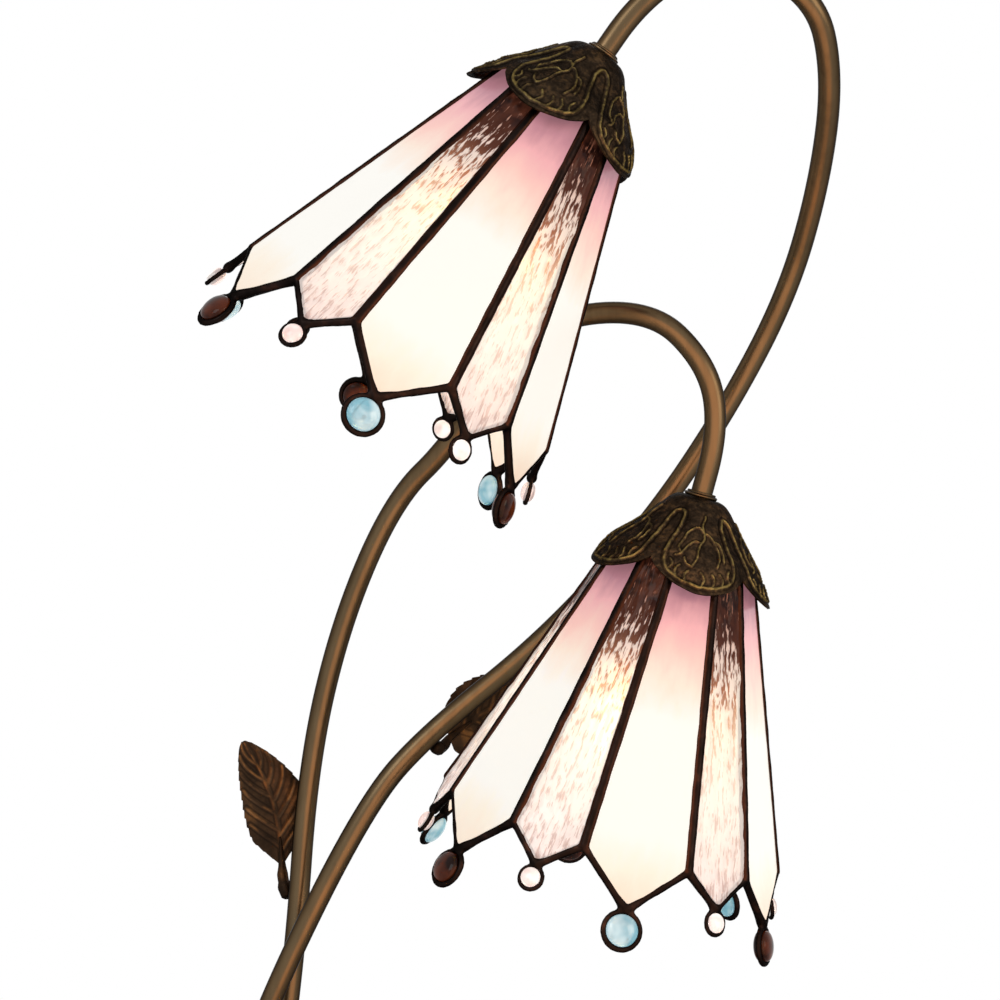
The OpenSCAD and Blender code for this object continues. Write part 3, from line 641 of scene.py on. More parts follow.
MATERIALS = {slot: once(plain_paint, *row) for slot, row in PLAIN.items()}
MATERIALS.update({
    "cast_bronze": once(make_cast_bronze), "calyx_bronze": once(make_calyx_bronze),
    "leaf_bronze": once(make_leaf_bronze), "tube_bronze": once(make_tube_bronze),
    "leading": once(make_leading), "pink_glass": once(make_pink_glass),
    "clear_glass": once(make_clear_glass), "blue_glass": once(make_blue_glass),
    "amber_glass": once(make_amber_glass), "bead_glass": once(make_bead_glass),
    "bulb_glass": once(make_bulb_glass), "filament": once(make_filament),
})


def mark(piece, name, value):
    """Writes a number from 0 to 1 at every point, for the finish to read."""
    layer = piece.data.attributes.new(name, "FLOAT", "POINT")
    for vertex, item in zip(piece.data.vertices, layer.data):
        item.value = value(vertex.co)
    return piece


def emboss(piece, veins, height, widths, region=None):
    """Raises rounded ridges along lines; widths holds one width, or one for each line.

    The relief mark is 0 in the groove beside a ridge, 0.3 on the ground and past 1 on the ridge."""
    if not isinstance(widths, list):
        widths = [widths] * len(veins)
    spots = [(a.lerp(b, j / 4), width) for vein, width in zip(veins, widths)
             for a, b in zip(vein, vein[1:]) for j in range(4)]
    tree = kdtree.KDTree(len(spots))
    for k, (spot, width) in enumerate(spots):
        tree.insert(spot, k)
    tree.balance()
    relief = piece.data.attributes.new("relief", "FLOAT", "POINT")
    moved = []
    for vertex, item in zip(piece.data.vertices, relief.data):
        index, distance = tree.find(vertex.co)[1:]
        near = distance / spots[index][1]
        reached = near < 4 and (region is None or region(vertex))
        rise = math.exp(-near * near) if reached else 0
        groove = math.exp(-(near - 2) ** 2) if reached else 0
        item.value = 0.3 + 0.9 * rise - 0.3 * groove
        moved.append(vertex.co + vertex.normal * height * (rise - 0.25 * groove))
    for vertex, place in zip(piece.data.vertices, moved):
        vertex.co = place
    piece.data.update()
    return piece


CURVE_STEPS = 6


def curved(points):
    """A smooth line through a few given points."""
    points = [Vector(p) for p in points]
    ends = [points[0] * 2 - points[1], *points, points[-1] * 2 - points[-2]]
    line = []
    for a, b, c, d in zip(ends, ends[1:], ends[2:], ends[3:]):
        for j in range(CURVE_STEPS):
            t = j / CURVE_STEPS
            line.append(0.5 * (2 * b + (c - a) * t + (2 * a - 5 * b + 4 * c - d) * t * t
                               + (3 * b - a - 3 * c + d) * t ** 3))
    return line + [points[-1]]


def rounded(corners, steps):
    """A route through corners, each rounded from the middle of one leg to the middle of the next."""
    route = [corners[0], (corners[0] + corners[1]) / 2]
    for before, corner, after in zip(corners, corners[1:], corners[2:]):
        a = (before + corner) / 2
        b = (corner + after) / 2
        for t in (j / steps for j in range(1, steps + 1)):
            route.append((1 - t) ** 2 * a + 2 * t * (1 - t) * corner + t * t * b)
    return route + [corners[-1]]


# ---- stems ----------------------------------------------------------------------------

STEM_R = mm(4.74)
STEM_WALL = mm(1)
STEM_SIDES, STEM_STEPS = 32, 14
LEAD_R = mm(2.2)
LEAD_SIDES, LEAD_STEPS = 12, 8
LEAD_END = mm(21.95)
FEET = {"upper": (-10, -7), "lower": (10, 7)}
STEM_FOOT_Z, LEAD_Z = 17, 9
LEAD_START_X, LEAD_START_Y, LEAD_BEND_Y = 6, 16.95, 12.1
# the corners that each stem is bent round, from its foot to its neck
CORNERS = {
    "lower": [(10, 7, 100), (20, 10, 171), (25, 26, 257), (40, 32, 322), (64, 32, 377),
              (90, 22, 402), (126, -4, 456), (176, -22, 462), (201, -27, 437)],
    "upper": [(-10, -7, 100), (10, -7, 158), (53, -4, 244), (80, 4, 274), (133, 16, 315),
              (180, 20, 367), (214, 20, 418), (240, 14, 469), (250, -16, 516),
              (251, -48, 557), (241, -65, 588), (203, -68, 605)],
}
NECK_RUN = mm(30)
NECK_END = mm(10)


def stem_route(head, start, end):
    """The corners of a stem from its start to a distance end below the neck."""
    tilt = math.radians(HEADS[head]["tilt"])
    up = Vector((math.sin(tilt), 0, math.cos(tilt)))
    neck = HEADS[head]["neck"]
    return start + [mm(*p) for p in CORNERS[head]] + [neck + NECK_RUN * up, neck - end * up]


def open_ends(tube):
    """Takes the caps off a bar: its faces with more than four corners."""
    with editing(tube):
        bpy.ops.mesh.select_all(action="DESELECT")
    for face in tube.data.polygons:
        face.select = len(face.vertices) > 4
    bpy.ops.object.mode_set(mode="EDIT")
    bpy.ops.mesh.select_mode(type="FACE")
    bpy.ops.mesh.delete(type="ONLY_FACE")
    bpy.ops.object.mode_set(mode="OBJECT")


class LAMP_OT_stems(bpy.types.Operator):
    """Bends the two stem tubes and threads the leads through them"""
    bl_idname = "lamp.stems"
    bl_label = "Stems and leads"

    def execute(self, context):
        for side, head in ((-1, "upper"), (1, "lower")):
            foot = FEET[head]
            route = stem_route(head, [mm(*foot, STEM_FOOT_Z)], NECK_END)
            tube = drawn(f"{head}_stem_tube", [rounded(route, STEM_STEPS)], STEM_R, STEM_SIDES)
            open_ends(tube)
            finish_with(tube, "SOLIDIFY", thickness=STEM_WALL, offset=-1, use_rim=True)
            settle(smooth(tube, 50), "stand", "tube_bronze", f"{head}_stem")
            x = side * LEAD_START_X
            start = [mm(x, LEAD_START_Y, LEAD_Z), mm(x, LEAD_BEND_Y, LEAD_Z),
                     mm(*foot, LEAD_Z + 0.5), mm(*foot, STEM_FOOT_Z + 3)]
            route = stem_route(head, start, LEAD_END)
            lead = drawn(f"{head}_lead_core", [rounded(route, LEAD_STEPS)], LEAD_R, LEAD_SIDES)
            settle(smooth(lead, 50), "stand", "ivory_plastic", f"{head}_lead")
        return {"FINISHED"}


# ---- leaves -----------------------------------------------------------------------------

# sway bends the midrib sideways, belly moves the widest place, flare widens one side
LEAVES = {
    "left": dict(stalk=[(16, 19.8, 198), (13.5, 24, 205), (13, 27, 210)], tip=(-5.4, 35, 266),
                 sway=mm(5), belly=0.8, flare=1, slim_foot=True),
    "right": dict(stalk=[(83.1, 6.6, 267.4), (86, 12, 266), (89, 16, 270)], tip=(140, 42, 290),
                  sway=mm(-5), belly=0.55, flare=1.1, slim_foot=False),
}
LEAF_L, LEAF_W, LEAF_T = mm(60), mm(30), mm(1.2)
LEAF_CUP, LEAF_BOW, LEAF_WAVE = mm(3), mm(1.5), mm(0.7)
LEAF_CELLS = (56, 120)
TEETH, TOOTH_DEPTH = 14, 0.045
LEAF_VEINS, VEIN_HEIGHT, VEIN_WIDTH = 6, mm(0.32), mm(0.62)
STALK_R, STALK_SINK = mm(2.3), mm(0.9)
# the stalk's thickness at its foot and where it runs out in the blade
STALK_FOOT, STALK_MIDDLE, STALK_TIP = [0.75, 1.2, 1.45, 1.4, 1.25], 1.1, [1.05, 0.8, 0.5, 0.22]


def leaf_axes(leaf):
    """A blade's directions: along its midrib, across it and out of its face."""
    along = (mm(*leaf["tip"]) - mm(*leaf["stalk"][-1])).normalized()
    across = Vector((0, -1, 0)).cross(along).normalized()
    return along, across, along.cross(across)


def blade(leaf, u, t):
    """A place on the blade: u from edge to edge, t from stalk to tip."""
    along, across, face = leaf_axes(leaf)
    arch = math.sin(math.pi * t)
    foot = min(1, 4 * t) ** 0.5 if leaf["slim_foot"] else 1
    belly = max(0, math.sin(math.pi * t ** leaf["belly"])) ** 0.7
    half = LEAF_W / 2 * (leaf["flare"] if u > 0 else 1) * foot * belly
    teeth = 1 - TOOTH_DEPTH * ((t * TEETH) % 1) * min(1, 6 * (1 - t)) * abs(u) ** 6
    wave = LEAF_WAVE * math.sin(t * 19) * abs(u) ** 3 * arch
    return (mm(*leaf["stalk"][-1]) + along * LEAF_L * t + across * (half * u * teeth - leaf["sway"] * arch)
            + face * ((LEAF_BOW - LEAF_CUP * u * u) * arch + wave))


def leaf_ribs(leaf):
    """The midrib and its side veins, which leave it by turns and bend towards the tip."""
    ribs = [[blade(leaf, 0, 0.02 + 0.96 * j / 40) for j in range(41)]]
    for k in range(LEAF_VEINS):
        for way, late in ((-1, 0), (1, 0.04)):
            root = 0.10 + 0.13 * k + late
            ribs.append([blade(leaf, way * 0.9 * j / 10, min(0.98, root + 0.24 * (j / 10) ** 1.15))
                         for j in range(11)])
    return ribs


class LAMP_OT_leaves(bpy.types.Operator):
    """Shapes the two leaves: toothed blades with raised veins, on short stalks"""
    bl_idname = "lamp.leaves"
    bl_label = "Leaves"

    def execute(self, context):
        for side, leaf in LEAVES.items():
            name = f"{side}_leaf_blade"
            piece = grid(name, *LEAF_CELLS)
            shape(piece, lambda p: blade(leaf, p.x, 0.012 + 0.976 * (p.y + 1) / 2))
            emboss(piece, leaf_ribs(leaf), VEIN_HEIGHT, VEIN_WIDTH)
            out = piece.data.polygons[0].normal.dot(leaf_axes(leaf)[2]) > 0
            finish_with(piece, "SOLIDIFY", thickness=LEAF_T, offset=-1 if out else 1)
            mend(piece)
            path = rounded([mm(*p) for p in leaf["stalk"]], 8) + [blade(leaf, 0, 0.10), blade(leaf, 0, 0.22)]
            path.insert(0, path[0] + (path[0] - path[1]).normalized() * STALK_SINK)
            middle = len(path) - len(STALK_FOOT) - len(STALK_TIP)
            widths = STALK_FOOT + [STALK_MIDDLE] * middle + STALK_TIP
            stalk = drawn("stalk", [[(*p, w) for p, w in zip(path, widths)]], STALK_R, 16)
            piece = join(name, [piece, stalk])
            settle(smooth(piece, 60), "stand", "leaf_bronze", f"{side}_leaf")
        return {"FINISHED"}


# ---- calyxes ----------------------------------------------------------------------------

LOBES = 5
LOBE_HALF = math.pi / LOBES
LOBE_S, NOTCH_S = 38, 28.2
LOBE_ROWS, CALYX_STEPS = 78, 440
CALYX_BORE_R, CALYX_NECK_R, CALYX_TIP_R = 5.2, 8.48, 39.8
CALYX_POWER = 0.66
CALYX_WALL = mm(0.85)
CALYX_RELIEF = mm(0.75)


def lobe_edge(x):
    """Depth of a lobe's edge in millimetres, x from one notch at -1 to the next at 1."""
    return NOTCH_S + (LOBE_S - NOTCH_S) * max(0, 1 - abs(x) ** 1.6) ** 0.8


def lobe_place(x, s, turn):
    """A place on a lobe, x across it and s millimetres down the flower's axis."""
    t = max(0, s) / (LOBE_S - 2)
    r = CALYX_NECK_R + (CALYX_TIP_R - CALYX_NECK_R) * t ** CALYX_POWER
    r -= (2.2 + 1.9 * abs(x) ** 1.5) * math.sin(math.pi * min(1, s / 24)) + 0.4 * t * abs(x) ** 2
    r += 0.3 * math.sin(3.3 * x + 1.3) * t * t
    angle = turn + x * LOBE_HALF
    return Vector((mm(r) * math.sin(angle), -mm(r) * math.cos(angle), -mm(s)))


# the raised lines inside a lobe: x from notch to notch, and millimetres down the axis
LOBE_LINES = [
    [(0.02, 7), (-0.04, 11.4), (0.03, 15.7), (-0.07, 20), (-0.10, 24.4), (-0.18, 28.2)],
    [(-0.01, 13.5), (-0.18, 12.1), (-0.38, 13.8), (-0.50, 17.3), (-0.55, 21), (-0.48, 23.3)],
    [(-0.03, 18.2), (-0.20, 18), (-0.36, 20.4), (-0.45, 23.9), (-0.56, 25.2)],
    [(0.01, 13.8), (0.20, 14.5), (0.37, 17.9), (0.42, 22.2), (0.34, 26)],
    [(0.28, 16), (0.48, 16.8), (0.55, 20.6), (0.53, 23.8)],
    [(-0.18, 28.2), (-0.30, 27.3), (-0.36, 24.8)],
    [(0.03, 35.2), (0.06, 32.2), (0.0, 29.6)],
    [(0.23, 34.6), (0.28, 31.8), (0.22, 29.2)],
    [(0.43, 33.3), (0.46, 30.6), (0.38, 28.2)],
    [(0.60, 31.2), (0.57, 28.4), (0.62, 26.2)],
    [(-0.24, 34.5), (-0.28, 31.9), (-0.22, 30)],
    [(-0.44, 33.2), (-0.48, 30.4), (-0.42, 28.4)],
    [(-0.61, 31.2), (-0.57, 28.6), (-0.62, 27)],
]
# half of a lobe's border, from the tip to a notch
LOBE_BORDER = [(0, 35.4), (0.3, 34.5), (0.52, 32.6), (0.68, 30), (0.76, 26.5), (0.78, 22), (0.75, 17.5),
               (0.73, 13), (0.74, 9.8), (0.79, 7.9), (0.88, 7.0), (1.0, 6.7)]
# how thick a border and an inner line are, as shares of the vein that is set
BORDER_SHARE, LINE_SHARE = 1.1, 0.72


def vein_line(line, k):
    """A raised line on lobe k, a little unsteady, as a hand would carve it."""
    loose = []
    for x, s in line:
        spot = Vector((3 * x, s / 6, 7 * k))
        x, s = x + 0.035 * noise.noise(spot), s + 0.5 * noise.noise(spot + Vector((0, 0, 3)))
        loose.append(lobe_place(x, s, k * 2 * LOBE_HALF))
    shake = Vector((5, 0, 0))
    return [p + mm(0.4) * Vector((noise.noise(p * 420), noise.noise(p * 420 + shake), 0))
            for p in curved(loose)]


class LAMP_OT_calyxes(bpy.types.Operator):
    """Shapes the cast calyxes: five cupped lobes with raised veins, and the ring at the neck"""
    bl_idname = "lamp.calyxes"
    bl_label = "Calyxes"

    def execute(self, context):
        profile = [(CALYX_BORE_R, 0), (6.8, 0), (CALYX_NECK_R, 0)]
        profile += [(CALYX_NECK_R + 30 * k / LOBE_ROWS, -LOBE_S * k / LOBE_ROWS)
                    for k in range(1, LOBE_ROWS + 1)]
        calyx = lathe("calyx", profile, CALYX_STEPS)

        def to_lobe(p):
            """Cuts the cone's rows to the lobes' edges, and cups them."""
            if p.z > -mm(0.01):
                return p
            angle = math.atan2(p.x, -p.y) / LOBE_HALF / 2
            k = round(angle)
            x = (angle - k) * 2
            return lobe_place(x, -1000 * p.z / LOBE_S * lobe_edge(x), k * 2 * LOBE_HALF)
        mend(shape(calyx, to_lobe))
        if calyx.data.polygons[0].normal.z < 0:
            calyx.data.flip_normals()
        borders = [[(way * x, s) for x, s in LOBE_BORDER] for way in (-1, 1)]
        veins = [vein_line(line, k) for k in range(LOBES) for line in borders + LOBE_LINES]
        width = settings().metal.vein
        widths = ([width * BORDER_SHARE] * len(borders) + [width * LINE_SHARE] * len(LOBE_LINES)) * LOBES
        emboss(calyx, veins, CALYX_RELIEF, widths)

        def rough(p):
            return p + p.normalized() * (mm(0.25) * noise.noise(p * 190) + mm(0.12) * noise.noise(p * 520))
        shape(calyx, rough)
        finish_with(calyx, "SOLIDIFY", thickness=CALYX_WALL, offset=-1)
        both_heads(calyx, "calyx", "stand", "calyx_bronze", key="calyx_turn", degrees=70)
        ring = lathe("neck_ring", [(5.2, 0.1), (6.9, 0.1), (7.2, 0.6), (7.2, 1.1), (6.8, 1.45), (6.2, 1.6),
                                   (6.3, 2.0), (6.0, 2.4), (5.2, 2.45)], closed=True)
        both_heads(ring, "neck_ring", "stand", "tube_bronze", degrees=40)
        return {"FINISHED"}


# ---- shades ---------------------------------------------------------------------------

# how far a pane's glass stays inside its outline, under the solder, along its top and foot and at its sides
GLASS_END, GLASS_SIDE = mm(0.5), mm(0.7)
OPAL_RIPPLE = mm(0.12)


def ripple_at(place, across, along, seed):
    """Ripple drawn out down the glass, a number that is mostly between -1 and 1."""
    spot = Vector((place.x / across, place.y / along, seed))
    return noise.noise(spot) + 0.5 * noise.noise(spot * 2.1)


def glass_pane(name, kind, cells, height, across, along, seed):
    """One pane in its own plane: a grid drawn to the pane's outline, with both faces in relief."""
    top, low = kind.down(GLASS_TOP_S), kind.down(SHOULDER_S)

    def outline(p):
        end = low - GLASS_END + (kind.tip - GLASS_END) * (1 - abs(p.x))
        y = top + (end - top) * (p.y + 1) / 2
        return Vector((p.x * (min(y, low) * kind.spread - GLASS_SIDE), y, 0))

    def relief(p):
        side = 1 if p.z > 0 else -1
        return Vector((p.x, p.y, p.z + side * height * ripple_at(p, across, along, seed + side)))
    pane = shape(grid(name, *cells), outline)
    finish_with(pane, "SOLIDIFY", thickness=GLASS_T, offset=0)
    shape(mend(pane), relief)
    mark(pane, "depth", lambda p: (p.y - top) / (low + kind.tip - top))
    layer = pane.data.attributes.new("flow", "FLOAT_VECTOR", "POINT")
    for item, vertex in zip(layer.data, pane.data.vertices):
        item.vector = (vertex.co.x, vertex.co.y, seed)
    return pane


def glaze(part, slot, kind, cells, height, across, along):
    """Six panes of one kind for each shade, every one with its own relief."""
    panes = []
    for k in range(PANES):
        pane = glass_pane(f"{part}_{k}", kind, cells, height, across, along, 7.3 * k + kind.first)
        pane.data.transform(kind.plane(k))
        panes.append(pane)
    both_heads(join(part, panes), part, "shade", slot)


class LAMP_OT_glass(bpy.types.Operator):
    """Cuts the opal and the clear panes of both shades"""
    bl_idname = "lamp.glass"
    bl_label = "Glass panes"

    def execute(self, context):
        glaze("pink_panes", "pink_glass", PINK, (14, 48), OPAL_RIPPLE, mm(18), mm(40))
        glaze("clear_panes", "clear_glass", CLEAR, (30, 110), settings().shade.ripple, mm(2.6), mm(9))
        return {"FINISHED"}


def on_pane(kind, k, points):
    """Points in a pane's plane, as places in the flower's own space."""
    plane = kind.plane(k)
    return [plane @ Vector(p) for p in points]


def uneven(points, seed, amount=0.09):
    """The points of a solder line, each with its own share of the line's radius."""
    return [(*p, 1 + amount * noise.noise(Vector((p.x * 160, p.y * 160, p.z * 160 + seed)))) for p in points]


def stepped(a, b, count):
    """Points in a straight line from a to b."""
    return [a.lerp(b, k / count) for k in range(count + 1)]


def bell(j, middle, spread):
    """1 in the middle, falling off to 0 on both sides."""
    return math.exp(-((j - middle) / spread) ** 2)


SEAM_STEPS, RIM_STEPS, RING_STEPS = 40, 12, 28
BAR_SIDES, RING_SIDES = 12, 10
# solder gathers at a pane's point, and less where the rims meet
POINT_LUMP, POINT_SPREAD = 0.32, 1.6
CORNER_LUMP, CORNER_SPREAD = 0.15, 1.5
SOLDER_VOXEL = mm(0.68)
# the painted glow of the lit glass on the solder runs below this depth, this near to a pane, and fades over
# this width
FRINGE_TOP_S = mm(27)
FRINGE_REACH, FRINGE_FADE = mm(1.72), mm(0.3)
PANE_REACH = mm(26)


def seam_line(k, side):
    """The seam on one side of opal pane k, from under the collar band to the shoulder."""
    spin = Matrix.Rotation(k * TAU / PANES + side * PINK.half, 4, "Z")
    start = (GLASS_TOP_S + mm(1) + APEX_S) / math.cos(SEAM_SLOPE)
    end = (SHOULDER_S + APEX_S) / math.cos(SEAM_SLOPE) + RIM_W / 4
    ends = [spin @ Vector((0, -math.sin(SEAM_SLOPE) * v, APEX_S - math.cos(SEAM_SLOPE) * v))
            for v in (start, end)]
    return uneven(stepped(*ends, SEAM_STEPS), k + side)


def rim_line(kind, k):
    """The two lower edges of pane k, with solder gathered at the point and the corners."""
    low = kind.down(SHOULDER_S)
    x = low * kind.spread
    left, point, right = on_pane(kind, k, [(-x, low, 0), (0, low + kind.tip, 0), (x, low, 0)])
    rim = uneven(stepped(left, point, RIM_STEPS) + stepped(point, right, RIM_STEPS)[1:], k + 3, 0.16)
    lumps = [1 + POINT_LUMP * bell(j, RIM_STEPS, POINT_SPREAD)
             + CORNER_LUMP * bell(min(j, 2 * RIM_STEPS - j), 0, CORNER_SPREAD) for j in range(len(rim))]
    return [(*p[:3], p[3] * lump) for p, lump in zip(rim, lumps)]


def ring_line(kind, k):
    """The ring of solder round the stone or bead of pane k."""
    low = kind.down(SHOULDER_S) + kind.drop
    reach = kind.stone / 2 + kind.section * 0.7
    angles = [TAU * j / RING_STEPS for j in range(RING_STEPS)]
    points = [(reach * math.cos(a), low + reach * math.sin(a), 0) for a in angles]
    return uneven(on_pane(kind, k, points), k + 5, 0.14)


class LAMP_OT_leading(bpy.types.Operator):
    """Runs the solder between the panes, along the rim and round the stones"""
    bl_idname = "lamp.leading"
    bl_label = "Leading"

    def execute(self, context):
        seams = [seam_line(k, side) for k in range(PANES) for side in (-1, 1)]
        rims = [rim_line(kind, k) for k in range(PANES) for kind in (PINK, CLEAR)]
        bars = [drawn("seams", seams, settings().shade.lead_width / 2, BAR_SIDES),
                drawn("rims", rims, RIM_W / 2, BAR_SIDES)]
        bars += [drawn("ring", [ring_line(kind, k)], kind.section, RING_SIDES, cyclic=True)
                 for k in range(PANES) for kind in (PINK, CLEAR)]
        r = 1000 * COLLAR_R
        bars.append(lathe("top_band", [(r + 0.1, -22.6), (r + 3.2, -22.4), (r + 3.7, -24), (r + 3.5, -25.9),
                                       (r + 0.1, -26.0)], 48, closed=True))
        lines = join("leading", bars)
        finish_with(lines, "REMESH", mode="VOXEL", voxel_size=SOLDER_VOXEL, use_smooth_shade=True)
        finish_with(lines, "SMOOTH", factor=0.5, iterations=3)
        planes = [kind.plane(k) for k in range(PANES) for kind in (PINK, CLEAR)]

        def painted_glow_edge(p):
            """1 where the painted glow of the lit glass lies, on the solder beside a seam, 0 on its crown."""
            if not -SHOULDER_S < p.z < -FRINGE_TOP_S:
                return 0
            across, down, out = 0, 1, 2
            nearest = min(abs((p - APEX).dot(m.col[out].xyz)) for m in planes
                          if m.col[down].xyz.dot(p - APEX) > 0 and abs(m.col[across].xyz.dot(p)) < PANE_REACH)
            return max(0, min(1, (FRINGE_REACH - nearest) / FRINGE_FADE))
        mark(lines, "painted_glow_edge", painted_glow_edge)
        both_heads(lines, "leading", "shade", "leading", degrees=60)
        return {"FINISHED"}


# part, finish, kind of pane, the panes that carry it, height as a share of its width, edge
STONES = (
    ("blue_cabochons", "blue_glass", PINK, (0, 2, 4), 0.6, mm(2.4)),
    ("amber_cabochons", "amber_glass", PINK, (1, 3, 5), 0.6, mm(2.4)),
    ("clear_beads", "bead_glass", CLEAR, range(PANES), 0.75, mm(1.8)),
)
DOME_STEPS, STONE_STEPS = 9, 40


class LAMP_OT_stones(bpy.types.Operator):
    """Sets the domed stones and the clear beads on the points of the panes"""
    bl_idname = "lamp.stones"
    bl_label = "Stones and beads"

    def execute(self, context):
        for part, slot, kind, panes, share, edge in STONES:
            r = 500 * kind.stone
            rise = 500 * (kind.stone * share - edge)
            angles = [math.pi / 2 * j / DOME_STEPS for j in range(DOME_STEPS + 1)]
            dome = [(r * math.cos(a), 500 * edge + rise * math.sin(a)) for a in angles]
            stone = lathe(part, dome[::-1] + [(x, -z) for x, z in dome], STONE_STEPS)
            middle = Vector((0, kind.down(SHOULDER_S) + kind.drop, 0))
            shape(stone, lambda p: p + middle + Vector((1, 1, 1)) * mm(0.12) * noise.noise(p * 130))
            stones = [copy_of(stone, f"{part}_{k}", kind.plane(k)) for k in panes]
            drop(stone)
            both_heads(join(part, stones), part, "shade", slot, degrees=80)
        return {"FINISHED"}


# ---- lampholders and bulbs ---------------------------------------------------------------

FLANGE_S, FLANGE_T = 17.4, 2
SKIRT_R, SKIRT_L, SKIRT_BORE = 14, 36, 12.6
SEAT_R, SEAT_TOP_S, SEAT_S = 9.4, 34.1, 35.1
SKIRT_PITCH, SKIRT_THREAD = 2.4, 0.55
BULB_S, BULB_L, BULB_R, BULB_WALL = 54.4, 78, 17.5, 0.8
BULB_NECK_R, BULB_BORE_R, BULB_NECK_L = 6.48, 5.68, 6
CAP_S, CAP_R, CAP_WALL = 38.3, 6.95, 0.4
CAP_PITCH, CAP_THREAD = 2.82, 0.35
# the candle's outline: share of its length, share of its greatest radius
CANDLE = [(0.04, 0.47), (0.10, 0.64), (0.18, 0.83), (0.26, 0.95), (0.34, 1.0), (0.43, 1.0), (0.52, 0.96),
          (0.61, 0.89), (0.70, 0.77), (0.78, 0.63), (0.85, 0.47), (0.91, 0.31), (0.96, 0.17), (1.0, 0.0)]


def threaded(piece, low, high, pitch, depth, least):
    """Cuts a rounded thread into what lies outside radius least, between two heights."""
    def cut(p):
        z, r = 1000 * p.z, 1000 * math.hypot(p.x, p.y)
        if r < least or not low < z < high:
            return p
        fade = min(1, (high - z) / pitch, (z - low) / pitch)
        turn = z / pitch + math.atan2(p.y, p.x) / TAU
        k = 1 - depth * fade * (0.5 + 0.5 * math.cos(TAU * turn)) / r
        return Vector((p.x * k, p.y * k, p.z))
    return shape(piece, cut)


class LAMP_OT_lights(bpy.types.Operator):
    """Turns the lampholders' threaded skirts and the screw-in candle bulbs"""
    bl_idname = "lamp.lights"
    bl_label = "Lampholders and bulbs"

    def execute(self, context):
        low, high = -(FLANGE_S + SKIRT_L), -(FLANGE_S + FLANGE_T)
        rows = [low + 0.36 * k for k in range(1, int((high - low) / 0.36) + 1)]
        skirt = [(SKIRT_BORE, low + 0.4), (13.1, low), (13.7, low + 0.1)] + [(SKIRT_R, z) for z in rows]
        skirt += [(17.0, high), (17.5, high + 0.4), (17.5, -FLANGE_S - 0.3), (17.2, -FLANGE_S),
                  (SKIRT_BORE, -FLANGE_S), (SKIRT_BORE, -SEAT_TOP_S), (SEAT_R, -SEAT_TOP_S),
                  (SEAT_R, -SEAT_S), (SKIRT_BORE, -SEAT_S)]
        skirt = lathe("holder_skirt", skirt, 96, closed=True)
        threaded(skirt, low + 0.5, high - 0.6, SKIRT_PITCH, SKIRT_THREAD, SKIRT_R - 0.2)
        both_heads(skirt, "holder_skirt", "stand", "dark_holder", degrees=50)

        rows = [-BULB_S + 0.35 * k for k in range(int((BULB_S - CAP_S) / 0.35))]
        cap = [(0, -34.95), (1.6, -34.95), (2.0, -35.4), (2.0, -37.2), (4.8, -38.0), (CAP_R, -CAP_S - 1)]
        cap += [(CAP_R, z) for z in rows[::-1] if z < -CAP_S - 1.3]
        cap += [(CAP_R - CAP_WALL, -BULB_S), (CAP_R - CAP_WALL, -CAP_S - 1.6), (0, -CAP_S - 1.6)]
        cap = lathe("bulb_cap", cap, 72)
        threaded(cap, -BULB_S + 0.8, -CAP_S - 1.2, CAP_PITCH, CAP_THREAD, 6.8)
        both_heads(cap, "bulb_cap", "bulb", "brass", degrees=50)

        glass = [(BULB_NECK_R, -BULB_S + BULB_NECK_L), (BULB_NECK_R, -BULB_S - 0.2)]
        glass += [(x * BULB_R, -BULB_S - s * BULB_L) for s, x in CANDLE]
        glass += [(max(0, x * BULB_R - BULB_WALL), -BULB_S - BULB_WALL - s * (BULB_L - 1.7))
                  for s, x in CANDLE[::-1]]
        glass += [(BULB_BORE_R, -BULB_S - 0.2), (BULB_BORE_R, -BULB_S + BULB_NECK_L),
                  (BULB_NECK_R, -BULB_S + BULB_NECK_L)]
        glass = lathe("bulb_glass", glass, 72)
        mark(glass, "depth", lambda p: (-1000 * p.z - BULB_S) / BULB_L)
        both_heads(glass, "bulb_glass", "bulb", "bulb_glass", degrees=50)
        return {"FINISHED"}


# ---- base ---------------------------------------------------------------------------------

BASE_R, BOSS_R, FOOT_Z, FOOT_H, BOSS_TOP = 90, 23, 2, 4, 38
DOME_TOP, WALL = 32, 5
DOME_ROWS, CASTING_STEPS = 74, 300
WELL_Z = 24
SOCKET_R = 5.15
INLET_R, INLET_Z = 5.05, 11
HUB_R, HUB_H, HUB_GAP, HUB_LOBES = 27, 12, 0.05, 6
HUB_ROWS, HUB_STEPS = 26, 240
HUB_CUT = 0.13
# where the ribs of the base's leaves fork, and how long a fork is, as shares of a rib
FORKS = ((0.18, 0.50), (0.44, 0.46), (0.70, 0.26))


def dome_height(r):
    """Height of the dome's outside at radius r, in millimetres."""
    t = min(1, max(0, (BASE_R - r) / (BASE_R - BOSS_R)))
    return FOOT_Z + FOOT_H + (DOME_TOP - FOOT_Z - FOOT_H) * (1 - (1 - t) ** 4)


def on_dome(angle, r):
    return Vector((mm(r) * math.sin(angle), -mm(r) * math.cos(angle), mm(dome_height(r))))


def to_back(piece):
    """Lays a piece turned round Z along the inlet, which runs to the back of the base."""
    piece.data.transform(Matrix.Translation(mm(0, 0, INLET_Z)) @ Matrix.Rotation(-math.pi / 2, 4, "X"))
    return mend(piece)


def drill(piece, bit):
    """Bores a hole of the bit's shape."""
    finish_with(piece, "BOOLEAN", operation="DIFFERENCE", object=bit, solver="EXACT")
    drop(bit)


def drill_stem_holes(piece, low, high):
    """Bores the two upright holes that the stems stand in."""
    for head in ("lower", "upper"):
        bit = lathe("bit", [(0, low), (SOCKET_R, low), (SOCKET_R, high), (0, high)], 48)
        bit.data.transform(Matrix.Translation(mm(*FEET[head], 0)))
        drill(piece, mend(bit))


